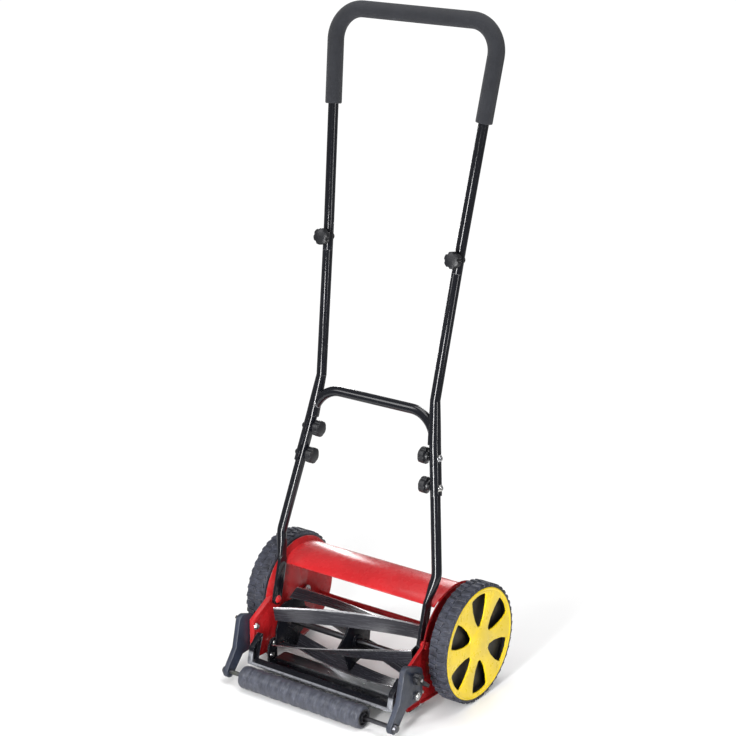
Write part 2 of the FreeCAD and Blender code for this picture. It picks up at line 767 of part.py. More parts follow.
def link(name, first, second, start, length):
    """A flat link with round ends, between two circles (y, z, radius)."""
    (y1, z1, r1), (y2, z2, r2) = first, second
    run = math.hypot(y2 - y1, z2 - z1)
    heading = math.degrees(math.atan2(z2 - z1, y2 - y1))
    lean = math.degrees(math.acos((r1 - r2) / run))
    corners = []
    for y, z, r, turn in ((y1, z1, r1, lean), (y2, z2, r2, lean), (y2, z2, r2, -lean), (y1, z1, r1, -lean)):
        dy, dz = polar(r, heading + turn)
        corners.append((f"{y + dy}", f"{z + dz}"))
    end = f"({start}) + ({length})"
    return [extruded(name, corners, start, length),
            rod(name + "_end_a", r1, start, end, y1, z1),
            rod(name + "_end_b", r2, start, end, y2, z2)]


def make_roller_arm():
    """The cast arm: a broad head on the pivot and clamp bolts and a leg down to the roller."""
    start, length = "arm_inner", "arm_thick"
    roller_end = (size("roller_y"), size("roller_radius"), 11)
    head = [ARM_TOP, ARM_FRONT_UPPER, ARM_FRONT_LOWER, ARM_KNEE]
    parts = []
    for index, (first, second) in enumerate(zip(head, head[1:] + head[:1])):
        parts += link(f"arm_head_{index}", first, second, start, length)
    parts += link("arm_leg", (ARM_KNEE[0], ARM_KNEE[1], 13), roller_end, start, length)
    middle = [(y, z) for y, z, _ in head]
    parts.append(extruded("arm_web", [(str(y), str(z)) for y, z in middle], start, length))
    blank = fuse("arm_blank", *parts)
    pivot = rod("arm_pivot_bore", "pivot_bolt_radius + running_gap", start, f"{start} + {length}",
                "arm_pivot_y", "arm_pivot_z")
    axle = rod("arm_axle_bore", "roller_axle_radius", start, f"{start} + {length}",
               "roller_y", "roller_radius")
    reach = math.hypot(size("arm_clamp_y - arm_pivot_y"), size("arm_clamp_z - arm_pivot_z"))
    heading = math.degrees(math.atan2(size("arm_clamp_z - arm_pivot_z"),
                                      size("arm_clamp_y - arm_pivot_y")))
    play = SMALL_BOLT_RADIUS + 0.5
    slot = ring_sector("arm_slot", reach - play, reach + play, heading - ARM_SLOT_DOWN,
                       heading + ARM_SLOT_UP, start, length, "arm_pivot_y", "arm_pivot_z")
    return cut("arm_cut", blank, pivot, axle, slot)


def make_arm_fasteners():
    """Pivot bolt with its nut, clamp bolt, and the nut on the roller axle."""
    outer = "arm_inner + arm_thick"
    pivot = bolt("arm_pivot_bolt", "pivot_bolt_radius", 8, "plate_inner", f"{outer} + 6",
                 "arm_pivot_y", "arm_pivot_z", 4)
    washer = rod("arm_pivot_spacer", 6, "plate_inner + plate_thick", "arm_inner - 0.2",
                 "arm_pivot_y", "arm_pivot_z")
    nut = hex_nut("arm_pivot_nut", 14, f"{outer} + 0.2", "5", "arm_pivot_y", "arm_pivot_z")
    clamp = bolt("arm_clamp_bolt", SMALL_BOLT_RADIUS, 7, "plate_inner", f"{outer} + 13",
                 "arm_clamp_y", "arm_clamp_z", 4)
    return {"roller_pivot_bolt": fuse("arm_pivot_set", pivot, washer, nut), "roller_clamp_bolt": clamp}


WING_SPAN, WING_ROOT, WING_DEPTH, WING_THICK = 24, 8, 12, 5


def make_wing_knob():
    """The winged clamp nut, its wings slanting up and back."""
    body = new_body("wing_knob_body", "0", "arm_clamp_y", "arm_clamp_z", Rotation(X_AXIS, -45))
    hub = new_sketch(body, "YZ_Plane", "arm_inner + arm_thick + 0.3")
    circle(hub, "10")
    pad(body, hub, "9")
    wings = new_sketch(body, "XY_Plane", f"-{WING_THICK / 2}")
    low = size("arm_inner + arm_thick") + 2
    high = low + WING_DEPTH
    rounded(wings, [(low, -WING_ROOT, 1), (low + 4, -WING_SPAN, 4), (high + 5, -WING_SPAN, 5),
                    (high - 2, 0, 6), (high + 5, WING_SPAN, 5), (low + 4, WING_SPAN, 4),
                    (low, WING_ROOT, 1)])
    pad(body, wings, WING_THICK)
    bore = new_sketch(body, "YZ_Plane", "arm_inner")
    circle(bore, f"{SMALL_BOLT_RADIUS} + running_gap")
    pocket_through(body, bore)
    return body


def make_roller_axle():
    end = "arm_inner + arm_thick + 1"
    return turned("roller_axle_body", [
        (f"-({end}) - 5", "0"), (f"-({end}) - 5", "6"), (f"-({end})", "8"),
        (f"-({end}) + 1", "8"), (f"-({end}) + 1", "roller_axle_radius"),
        (f"{end} - 1", "roller_axle_radius"), (f"{end} - 1", "8"), (end, "8"),
        (f"{end} + 5", "6"), (f"{end} + 5", "0")], y="roller_y", z="roller_radius")


# ---------------------------------------------------------------- handle tubes

PADDLE_TOP = (158.5, -74.5, 195)
BRACKET_BEND = (169, -62, 245)
BRACKET_CORNER = (121.8, -7.4, 512)
MID_BEND = (121.2, -4, 529)
LAP_BOTTOM, LAP_TOP = 751, 797
LAP_END_GAP = 0.3
MID_TOP = (139, 44, 797)
UPPER_CORNER = (168.6, 109.3, 1163)
SADDLE_BOTTOM, SADDLE_TOP = 377, 462
FOAM_BOTTOM = 1000
FLAT_HALF_WIDTH = 9.5
TUBE_CLEARANCE = 0.15


def on_line(first, second, z):
    """The point at height z on the line through two points."""
    share = (z - first[2]) / (second[2] - first[2])
    return tuple(a + (b - a) * share for a, b in zip(first, second))


def other_side(points):
    return [(-x, y, z, r) for x, y, z, r in reversed(points)]


def tube(name, corners, radius):
    """A round bar swept along straight runs joined by bends; corners are (x, y, z, bend)."""
    points = [Vector(*corner[:3]) for corner in corners]
    edges = []
    here = points[0]
    for index in range(1, len(points) - 1):
        corner, bend = points[index], corners[index][3]
        back = (points[index - 1] - corner).normalize()
        ahead = (points[index + 1] - corner).normalize()
        half = back.getAngle(ahead) / 2
        reach = bend / math.tan(half)
        inward = (back + ahead).normalize()
        entry, leave = corner + back * reach, corner + ahead * reach
        middle = corner + inward * (bend / math.sin(half) - bend)
        edges.append(Part.LineSegment(here, entry).toShape())
        edges.append(Part.Arc(entry, middle, leave).toShape())
        here = leave
    edges.append(Part.LineSegment(here, points[-1]).toShape())
    path = solid(name + "_path", Part.Wire(edges))
    section = doc.addObject("Part::Circle", name + "_section")
    bind(section, Radius=radius)
    section.Placement = Placement(points[0], Rotation(Vector(0, 0, 1), points[1] - points[0]))
    sweep = doc.addObject("Part::Sweep", name)
    sweep.Sections = [section]
    sweep.Spine = (path, [f"Edge{number + 1}" for number in range(len(edges))])
    sweep.Solid = True
    sweep.Frenet = False
    return sweep


def oval(centre, direction, half_x, half_y, squareness):
    """A closed smooth section: a circle at squareness 2, a flattened tube at 4 or so."""
    turn = Rotation(Vector(0, 0, 1), direction)
    points = []
    for step in range(32):
        angle = math.radians(step * 360 / 32)
        c, s = math.cos(angle), math.sin(angle)
        u = half_x * math.copysign(abs(c) ** (2 / squareness), c)
        v = half_y * math.copysign(abs(s) ** (2 / squareness), s)
        points.append(centre + turn.multVec(Vector(u, v, 0)))
    curve = Part.BSplineCurve()
    curve.interpolate(points, PeriodicFlag=True)
    return Part.Wire(curve.toShape())


def make_leg_end():
    """The flattened foot of the lower bracket, ending in a round eye on the pivot bolt."""
    thickness = "2 * leg_flat_half"
    start = "leg_end_x - leg_flat_half"
    eye = (size("pivot_y"), size("pivot_z"), 10.5)
    top = (PADDLE_TOP[1], PADDLE_TOP[2], FLAT_HALF_WIDTH)
    pieces = link("leg_end", eye, top, start, thickness)
    direction = Vector(*BRACKET_BEND) - Vector(*PADDLE_TOP)
    low, high = Vector(*PADDLE_TOP), Vector(*on_line(PADDLE_TOP, BRACKET_BEND, 226))
    flat = size("leg_flat_half")
    round_half = size("tube_radius")
    neck = Part.makeLoft([
        oval(low, direction, flat, FLAT_HALF_WIDTH, 5),
        oval(low + (high - low) * 0.5, direction, (flat + round_half) / 2, 9.6, 2.6),
        oval(high, direction, round_half, round_half, 2)], True, False)
    return fuse("leg_end_fused", *pieces, solid("leg_neck", neck))


def bracket_corners():
    start = on_line(PADDLE_TOP, BRACKET_BEND, 225)
    right = [(*start, 0), (*BRACKET_BEND, 40), (*BRACKET_CORNER, 54)]
    return right + other_side(right)


def upper_corners(bottom):
    """The upper handle's run, from a height on its right leg round to the same on its left."""
    if bottom < LAP_TOP:
        right = [(*on_line(MID_BEND, MID_TOP, bottom), 0), (*MID_TOP, 100)]
    else:
        right = [(*on_line(MID_TOP, UPPER_CORNER, bottom), 0)]
    right.append((*UPPER_CORNER, 52))
    return right + other_side(right)


KNOB_HEIGHTS = (440, 391)
KNOB_GAP = 0.3
LEG_KNOB_GAP = 1.9
HEAD_SEAT = 0.7
LAP_KNOB_HEIGHT = 774


def leg_centre(z):
    return on_line(BRACKET_BEND, BRACKET_CORNER, z)


def across_rod(name, radius, start, end, centre):
    return rod(name, radius, f"{centre[0]} + {start}", f"{centre[0]} + {end}", str(centre[1]),
               str(centre[2]))


LAP_DIRECTION = (Vector(*MID_TOP) - Vector(*MID_BEND)).normalize()
LAP_REARWARD = Vector(0, -LAP_DIRECTION.z, LAP_DIRECTION.y).normalize()


def lap_rod(name, radius, start, end):
    """A cylinder square to the tube at the upper knob, measured rearward from its centre."""
    centre = Vector(*on_line(MID_BEND, MID_TOP, LAP_KNOB_HEIGHT))
    thing = doc.addObject("Part::Cylinder", name)
    bind(thing, Radius=radius, Height=f"({end}) - ({start})")
    thing.Placement = Placement(centre + LAP_REARWARD * size(start),
                                Rotation(Vector(0, 0, 1), LAP_REARWARD))
    return thing


def half_box(name, point, along, facing, length, offset):
    """A box that takes away everything on one side of a tube's middle, from a point along it."""
    side = facing.cross(along).normalize()
    turn = Rotation(side, facing, along, "ZXY")
    box = doc.addObject("Part::Box", name)
    bind(box, Length="40", Width="30", Height=str(length))
    box.Placement = Placement(Vector(*point) + facing * offset - side * 20, turn)
    return box


def make_lower_bracket():
    legs = make_leg_end()
    bar = tube("bracket_bar", bracket_corners(), "tube_radius")
    blank = fuse("bracket_blank", legs, mirrored("leg_end_left", legs), bar)
    holes = [rod("bracket_pivot_bore", "pivot_bolt_radius + running_gap", "-plate_inner",
                 "plate_inner", "pivot_y", "pivot_z")]
    for z in KNOB_HEIGHTS:
        centre = leg_centre(z)
        holes.append(rod("bracket_knob_hole", "knob_bolt_radius", f"-{centre[0] + 20}",
                         f"{centre[0] + 20}", str(centre[1]), str(centre[2])))
    return cut("bracket_cut", blank, *holes)


def make_mid_tube():
    """Right-hand middle tube: a half-round saddle on the bracket leg, a lap joint at the top."""
    foot, shoulder = leg_centre(SADDLE_BOTTOM), leg_centre(SADDLE_TOP)
    low_direction = Vector(*BRACKET_CORNER) - Vector(*BRACKET_BEND)
    start = on_line(MID_BEND, MID_TOP, MID_BEND[2] + 6)
    outer = size("saddle_radius")
    inner = size("tube_radius")
    saddle = solid("saddle_form", Part.makeLoft([
        oval(Vector(*foot), low_direction, outer, outer, 2),
        oval(Vector(*shoulder), low_direction, outer, outer, 2)], True, True))
    neck = solid("saddle_neck", Part.makeLoft([
        oval(Vector(*shoulder), low_direction, outer, outer, 2),
        oval(Vector(*shoulder) * 0.45 + Vector(*start) * 0.55, low_direction + LAP_DIRECTION * 200,
             (outer + inner) / 2, (outer + inner) / 2, 2),
        oval(Vector(*start), LAP_DIRECTION, inner, inner, 2)], True, False))
    straight = tube("mid_straight", [(*on_line(MID_BEND, MID_TOP, MID_BEND[2] + 4), 0), (*MID_TOP, 0)],
                    "tube_radius")
    blank = fuse("mid_blank", saddle, neck, straight)
    leg_space = tube("mid_leg_space", bracket_corners(), "tube_radius + " + str(TUBE_CLEARANCE))
    inside = half_box("saddle_open_side", leg_centre(SADDLE_BOTTOM - 5), low_direction.normalize(),
                      Vector(-1, 0, 0), 92, 1)
    lap = half_box("mid_lap", on_line(MID_BEND, MID_TOP, LAP_BOTTOM), LAP_DIRECTION, LAP_REARWARD,
                   80, 0)
    holes = [across_rod("mid_knob_hole", "knob_bolt_radius", "-20", "20", leg_centre(z))
             for z in KNOB_HEIGHTS]
    holes += [across_rod("mid_head_seat", "7.5", f"saddle_radius - {HEAD_SEAT}", "22",
                         leg_centre(z)) for z in KNOB_HEIGHTS]
    holes.append(lap_rod("mid_lap_hole", "knob_bolt_radius", "-20", "20"))
    return cut("mid_cut", blank, leg_space, inside, lap, *holes)


def make_upper_handle():
    bar = tube("upper_bar", upper_corners(LAP_BOTTOM), "tube_radius")
    lap = half_box("upper_lap", on_line(MID_BEND, MID_TOP, LAP_BOTTOM - 30), LAP_DIRECTION,
                   -LAP_REARWARD, (LAP_TOP - LAP_BOTTOM + 30) / LAP_DIRECTION.z + LAP_END_GAP, 0)
    hole = lap_rod("upper_lap_hole", "knob_bolt_radius", "-20", "20")
    return cut("upper_cut", bar, lap, mirrored("upper_lap_left", lap), hole,
               mirrored("upper_lap_hole_left", hole))


def make_foam_grip():
    outer = tube("foam_outer", upper_corners(FOAM_BOTTOM), "foam_radius")
    bore = tube("foam_bore", upper_corners(FOAM_BOTTOM - 20), "tube_radius")
    return cut("foam_cut", outer, bore)


def make_star_knob(name, base, direction):
    """A six-lobed clamp knob with a blind bore, standing on base and pointing along direction."""
    body = turned(name, [
        ("0", "knob_bolt_radius + running_gap"), ("knob_length - 4", "knob_bolt_radius + running_gap"),
        ("knob_length - 4", "0"), ("knob_length", "0"), ("knob_length", "knob_radius - 3.5"),
        ("knob_length - 2", "knob_radius"), ("4.5", "knob_radius"), ("3", "9"), ("0", "8")],
        *[str(value) for value in base], Rotation(X_AXIS, direction))
    sketch = new_sketch(body, "YZ_Plane", "knob_length")
    circle(sketch, "3.4", "knob_radius + 0.9", "0")
    ring_around(body, pocket_through(body, sketch), 6)
    return body


def make_knob_bolts():
    """Right-hand carriage bolts: domed heads outside, threads reaching into the knobs."""
    bolts = []
    for z in KNOB_HEIGHTS:
        centre = leg_centre(z)
        stem = across_rod(f"knob_stem_{z}", "knob_bolt_radius", "-(tube_radius + 12)",
                          f"saddle_radius - {HEAD_SEAT}", centre)
        head = cone(f"knob_head_{z}", "7", "3.5", f"{centre[0]} + saddle_radius - {HEAD_SEAT}", "3.8",
                    str(centre[1]), str(centre[2]))
        bolts.append(fuse(f"knob_bolt_{z}", stem, head))
    stem = lap_rod("lap_stem", "knob_bolt_radius", "-tube_radius", "tube_radius + 11")
    head = doc.addObject("Part::Cone", "lap_head")
    bind(head, Radius1="7", Radius2="3.5", Height="3.2")
    centre = Vector(*on_line(MID_BEND, MID_TOP, LAP_KNOB_HEIGHT))
    head.Placement = Placement(centre - LAP_REARWARD * size("tube_radius"),
                               Rotation(Vector(0, 0, 1), -LAP_REARWARD))
    bolts.append(fuse("lap_bolt", stem, head))
    return fuse("knob_bolts_right", *bolts)


def make_pivot_bolt():
    """Shouldered bolt and nut that a handle foot turns on."""
    return turned("pivot_bolt_body", [
        ("leg_end_x - leg_flat_half - 3.5", "0"), ("leg_end_x - leg_flat_half - 3.5", "5"),
        ("leg_end_x - leg_flat_half - 0.3", "8"), ("leg_end_x - leg_flat_half - 0.3", "pivot_bolt_radius"),
        ("leg_end_x + leg_flat_half + 0.3", "pivot_bolt_radius"), ("leg_end_x + leg_flat_half + 0.3", "8"),
        ("plate_inner", "8"), ("plate_inner", "pivot_bolt_radius"),
        ("plate_inner + plate_thick", "pivot_bolt_radius"), ("plate_inner + plate_thick", "7"),
        ("plate_inner + plate_thick + 4.5", "6.5"), ("plate_inner + plate_thick + 4.5", "0")],
        y="pivot_y", z="pivot_z")


# ---------------------------------------------------------------- putting the pieces together

def keep_pair(label, right):
    keep(right, label + "_right")
    keep(mirrored(label + "_left_mirror", right), label + "_left")


def keep_both(label, right):
    """Identical small pieces on both sides, kept under one name."""
    keep(fuse(label + "_both", right, mirrored(label + "_left_mirror", right)), label)


for label, piece in make_wheel().items():
    if label == "axle_nut":
        keep_both("axle_nuts", piece)
    else:
        keep_pair(label, piece)

keep_pair("side_plate", make_side_plate())
keep(make_cover_bar(), "cover_bar")
fasteners = make_plate_fasteners()
keep_both("cover_screws", fasteners["cover_screws"])
keep_both("bed_bar_bolts", fasteners["bed_bar_bolts"])
keep_both("tie_bar_nuts", fasteners["tie_bar_nut"])
keep(make_tie_bar(), "tie_bar")
keep(make_bed_bar(), "bed_bar")
keep(make_bed_knife(), "bed_knife")
keep(make_knife_screws(), "bed_knife_screws")

keep(make_reel_shaft(), "reel_shaft")
keep(make_spider("spider_left_body", -size("spider_half"), END_SPIDER_VALLEY), "reel_spider_left")
keep(make_spider("spider_middle_body", 0, MIDDLE_SPIDER_VALLEY), "reel_spider_middle")
keep(make_spider("spider_right_body", size("spider_half"), END_SPIDER_VALLEY), "reel_spider_right")
for number in range(BLADES):
    keep(make_blade(number), f"reel_blade_{number + 1}")
keep_pair("pinion", make_pinion())
keep(fuse("pawls", pawl("pawl_left", -1), pawl("pawl_right", 1)), "pinion_pawls")
keep_both("pinion_circlips", make_circlip())
keep_pair("reel_bearing", make_reel_bearing())

keep_pair("roller_arm", make_roller_arm())
keep(make_roller_axle(), "roller_axle")
keep(make_roller(), "roller")
arm_bolts = make_arm_fasteners()
keep_both("roller_pivot_bolts", arm_bolts["roller_pivot_bolt"])
keep_both("roller_clamp_bolts", arm_bolts["roller_clamp_bolt"])
keep_pair("height_knob", make_wing_knob())

keep(make_lower_bracket(), "lower_bracket")
keep_pair("mid_tube", make_mid_tube())
keep(make_upper_handle(), "upper_handle")
keep(make_foam_grip(), "foam_grip")
keep_both("handle_pivot_bolts", make_pivot_bolt())
keep_both("knob_bolts", make_knob_bolts())

for level, z in zip(("a", "b"), KNOB_HEIGHTS):
    centre = leg_centre(z)
    base = (centre[0] - size("tube_radius") - LEG_KNOB_GAP, centre[1], centre[2])
    keep_pair(f"leg_knob_{level}", make_star_knob(f"knob_{level}_body", base, Vector(-1, 0, 0)))
lap_base = Vector(*on_line(MID_BEND, MID_TOP, LAP_KNOB_HEIGHT))
lap_base += LAP_REARWARD * (size("tube_radius") + KNOB_GAP)
keep_pair("lap_knob", make_star_knob("lap_knob_body", lap_base, LAP_REARWARD))


# ---------------------------------------------------------------- checks and export

doc.recompute()

faults = [thing.Name for thing in doc.Objects
          if "Invalid" in thing.State or "Error" in thing.State]
for thing in PIECES:
    if thing.Shape.isNull() or not thing.Shape.isValid() or thing.Shape.Volume <= 0:
        faults.append(thing.Label)
if faults:
    raise RuntimeError("These did not build: " + ", ".join(faults))

os.makedirs("parts", exist_ok=True)
for thing in PIECES:
    thing.Shape.exportStep(f"parts/{thing.Label}.step")
    print(f"{thing.Label}: {len(thing.Shape.Solids)} solid(s), {thing.Shape.Volume / 1000:.2f} cm3")
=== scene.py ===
import json
import math

import bmesh
import bpy
from bpy.props import (FloatProperty, FloatVectorProperty, IntProperty, PointerProperty)
from mathutils import Matrix, Vector


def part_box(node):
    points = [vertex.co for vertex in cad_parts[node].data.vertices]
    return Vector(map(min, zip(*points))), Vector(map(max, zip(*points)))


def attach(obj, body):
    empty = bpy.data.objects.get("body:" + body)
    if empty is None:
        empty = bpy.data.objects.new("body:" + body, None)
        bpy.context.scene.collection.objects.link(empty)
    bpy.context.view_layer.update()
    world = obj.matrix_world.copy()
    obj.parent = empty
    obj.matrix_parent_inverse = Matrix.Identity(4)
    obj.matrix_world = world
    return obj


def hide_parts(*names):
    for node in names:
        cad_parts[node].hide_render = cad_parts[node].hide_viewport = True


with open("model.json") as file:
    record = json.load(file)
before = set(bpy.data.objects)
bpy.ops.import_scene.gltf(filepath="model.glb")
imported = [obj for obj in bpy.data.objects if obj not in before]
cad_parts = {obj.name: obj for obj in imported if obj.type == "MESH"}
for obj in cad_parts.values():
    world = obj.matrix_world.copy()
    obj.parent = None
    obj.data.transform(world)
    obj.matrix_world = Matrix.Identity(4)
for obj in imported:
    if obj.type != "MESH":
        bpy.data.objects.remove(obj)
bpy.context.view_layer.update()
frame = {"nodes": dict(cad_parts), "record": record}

bl_info = {
    "name": "Reel mower finish",
    "version": (1, 0, 0),
    "blender": (4, 5, 0),
    "location": "3D View > Sidebar > Reel Mower",
    "description": "Finished surfaces for a push reel mower built round its CAD frame",
    "category": "Object",
}

MM = 0.001
BODY_OF = {node: body for body, nodes in frame["record"]["behaviour"]["bodies"].items()
           for node in nodes}
SLOT_OF = {part["node"]: part["material_slot"] for part in frame["record"]["subparts"]}
JOINT_AT = {joint["name"]: Vector(joint["pos_m"])
            for joint in frame["record"]["behaviour"]["joints"]}
AXLE_HEIGHT = JOINT_AT["wheel_right_spin"].z
REEL_AXIS = JOINT_AT["reel_spin"]
ROLLER_AXIS = JOINT_AT["roller_spin"]
ROLLER_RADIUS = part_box("roller")[1].z - ROLLER_AXIS.z
BLADE_TIP = max(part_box(f"reel_blade_{number}")[1][2] for number in range(1, 6)) - REEL_AXIS.z
BED_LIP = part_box("bed_bar")[0][1]


# ---------------------------------------------------------------- user settings

class PaintSettings(bpy.types.PropertyGroup):
    red: FloatVectorProperty(name="Red enamel", description="Side plates and cover bar",
                             subtype="COLOR", default=(0.43, 0.014, 0.017))
    black: FloatVectorProperty(name="Black gloss coat", description="Handle tubes and bed bar",
                               subtype="COLOR", default=(0.0045, 0.0050, 0.0075))
    yellow: FloatVectorProperty(name="Cap yellow", description="Wheel trim caps",
                                subtype="COLOR", default=(0.80, 0.58, 0.004))
    rubber: FloatVectorProperty(name="Tyre rubber", description="Wheel treads",
                                subtype="COLOR", default=(0.021, 0.023, 0.034))
    foam: FloatVectorProperty(name="Grip foam", description="Handle sleeve",
                              subtype="COLOR", default=(0.017, 0.018, 0.022))


class ShapeSettings(bpy.types.PropertyGroup):
    lug_rows: IntProperty(name="Tread lugs", description="Lugs round each tyre, per row",
                          default=44, min=12, max=90)
    lug_height: FloatProperty(name="Lug height", description="Tread depth", unit="LENGTH",
                              subtype="DISTANCE", default=0.0030)
    soft_edge: FloatProperty(name="Edge rounding", description="Rounding of pressed and cast edges",
                             unit="LENGTH", subtype="DISTANCE", default=0.0005)


# ---------------------------------------------------------------- node helpers

class Finish:
    """One procedural material, with short ways to add the nodes it is built from."""

    def __init__(self, name, **uniform):
        self.material = bpy.data.materials.new(name)
        self.material.use_nodes = True
        self.tree = self.material.node_tree
        self.shader = self.tree.nodes["Principled BSDF"]
        for socket, value in uniform.items():
            self.shader.inputs[socket.replace("_", " ")].default_value = value
        self.place = self.node("ShaderNodeTexCoord").outputs["Object"]

    def node(self, kind, **settings):
        made = self.tree.nodes.new(kind)
        for key, value in settings.items():
            setattr(made, key, value)
        return made

    def link(self, source, target):
        self.tree.links.new(source, target)

    def stretched(self, scale):
        mapping = self.node("ShaderNodeMapping")
        mapping.inputs["Scale"].default_value = scale
        self.link(self.place, mapping.inputs["Vector"])
        return mapping.outputs["Vector"]

    def noise(self, scale, detail=3.0, roughness=0.55, vector=None):
        made = self.node("ShaderNodeTexNoise")
        made.inputs["Scale"].default_value = scale
        made.inputs["Detail"].default_value = detail
        made.inputs["Roughness"].default_value = roughness
        self.link(vector or self.place, made.inputs["Vector"])
        return made.outputs["Fac"]

    def cells(self, scale):
        made = self.node("ShaderNodeTexVoronoi", feature="F1")
        made.inputs["Scale"].default_value = scale
        self.link(self.place, made.inputs["Vector"])
        return made.outputs["Distance"]

    def span(self, value, low, high, to_low=0.0, to_high=1.0):
        made = self.node("ShaderNodeMapRange")
        made.clamp = True
        for socket, number in zip(("From Min", "From Max", "To Min", "To Max"),
                                  (low, high, to_low, to_high)):
            made.inputs[socket].default_value = number
        self.link(value, made.inputs["Value"])
        return made.outputs["Result"]

    def maths(self, operation, first, second):
        made = self.node("ShaderNodeMath", operation=operation)
        for socket, value in zip(made.inputs, (first, second)):
            if isinstance(value, (int, float)):
                socket.default_value = value
            else:
                self.link(value, socket)
        return made.outputs["Value"]

    def blend(self, mask, first, second):
        made = self.node("ShaderNodeMix", data_type="RGBA")
        self.link(mask, made.inputs["Factor"])
        for socket, colour in zip((made.inputs[6], made.inputs[7]), (first, second)):
            if isinstance(colour, tuple):
                socket.default_value = (*colour, 1.0)
            else:
                self.link(colour, socket)
        return made.outputs[2]

    def worn_edges(self, radius, low=0.010, high=0.18):
        """A mask of edges, broken up so that wear comes and goes along them.

        low and high are how far the rounded normal leans from the true one, as 1 - cosine.
        """
        bevel = self.node("ShaderNodeBevel", samples=4)
        bevel.inputs["Radius"].default_value = radius
        geometry = self.node("ShaderNodeNewGeometry")
        dot = self.node("ShaderNodeVectorMath", operation="DOT_PRODUCT")
        self.link(bevel.outputs["Normal"], dot.inputs[0])
        self.link(geometry.outputs["Normal"], dot.inputs[1])
        edge = self.maths("SUBTRACT", 1.0, dot.outputs["Value"])
        patchy = self.span(self.noise(90, 4), 0.42, 0.68)
        return self.maths("MULTIPLY", self.span(edge, low, high), patchy)

    def reach(self, axis):
        """How far along one axis a point of the piece lies, in metres."""
        made = self.node("ShaderNodeSeparateXYZ")
        self.link(self.place, made.inputs[0])
        return made.outputs[axis]

    def radius_from(self, axle):
        """Distance from an axle that runs along X."""
        made = self.node("ShaderNodeMapping")
        made.inputs["Location"].default_value = -axle
        made.inputs["Scale"].default_value = (0.0, 1.0, 1.0)
        self.link(self.place, made.inputs["Vector"])
        length = self.node("ShaderNodeVectorMath", operation="LENGTH")
        self.link(made.outputs["Vector"], length.inputs[0])
        return length.outputs["Value"]

    def along_and_out(self, axle, along, out):
        """Coordinates that run along an axle and outward from it, each with its own scale."""
        made = self.node("ShaderNodeCombineXYZ")
        self.link(self.maths("MULTIPLY", self.reach("X"), along), made.inputs["X"])
        self.link(self.maths("MULTIPLY", self.radius_from(axle), out), made.inputs["Y"])
        return made.outputs["Vector"]

    def colour(self, source):
        self.link(source, self.shader.inputs["Base Color"])

    def roughness(self, source):
        self.link(source, self.shader.inputs["Roughness"])

    def metallic(self, source):
        self.link(source, self.shader.inputs["Metallic"])

    def bump(self, *layers):
        """Each layer is (height, distance in metres); they are stacked."""
        normal = None
        for height, distance in layers:
            made = self.node("ShaderNodeBump")
            made.inputs["Strength"].default_value = 1.0
            made.inputs["Distance"].default_value = distance
            self.link(height, made.inputs["Height"])
            if normal:
                self.link(normal, made.inputs["Normal"])
            normal = made.outputs["Normal"]
        self.link(normal, self.shader.inputs["Normal"])


def shade(colour, factor):
    return tuple(min(1.0, channel * factor) for channel in colour)


# ---------------------------------------------------------------- finishes

def enamel(name, base, coat=0.10, gloss=0.30):
    """Gloss paint on pressed steel: orange peel, faint dust and chips along the edges."""
    finish = Finish(name, Coat_Weight=coat, Coat_Roughness=0.10, Specular_IOR_Level=gloss)
    tone = finish.span(finish.noise(14, 4), 0.3, 0.7)
    painted = finish.blend(tone, shade(base, 0.86), shade(base, 1.10))
    dusty = finish.span(finish.noise(30, 6, 0.65), 0.58, 0.82, 0.0, 0.12)
    painted = finish.blend(dusty, painted, (0.30, 0.22, 0.18))
    chips = finish.worn_edges(0.0011)
    finish.colour(finish.blend(chips, painted, (0.30, 0.29, 0.28)))
    finish.metallic(finish.maths("MULTIPLY", chips, 0.85))
    finish.roughness(finish.span(finish.noise(45, 5), 0.3, 0.75, 0.18, 0.38))
    finish.bump((finish.noise(620, 2), 0.00006), (finish.noise(60, 3), 0.00010))
    return finish.material


def gloss_coat(name, base):
    """Black coating on round tube: a slight ripple, faint scratches and ends rubbed bright."""
    finish = Finish(name, Specular_IOR_Level=0.36, Coat_Weight=0.10, Coat_Roughness=0.05)
    rubbed = finish.span(finish.noise(26, 6, 0.7), 0.58, 0.80)
    along = finish.noise(60, 5, 0.6, finish.stretched((6, 6, 0.5)))
    scratch = finish.maths("MULTIPLY", finish.span(along, 0.64, 0.76), 0.18)
    worn = finish.blend(rubbed, base, shade(base, 2.4))
    worn = finish.blend(scratch, worn, (0.16, 0.16, 0.17))
    ends = finish.worn_edges(0.0009)
    finish.colour(finish.blend(ends, worn, (0.42, 0.42, 0.44)))
    finish.metallic(finish.maths("MULTIPLY", ends, 0.7))
    finish.roughness(finish.span(finish.noise(38, 5), 0.3, 0.8, 0.09, 0.20))
    finish.bump((finish.noise(900, 2), 0.00003), (finish.noise(70, 2), 0.00006))
    return finish.material


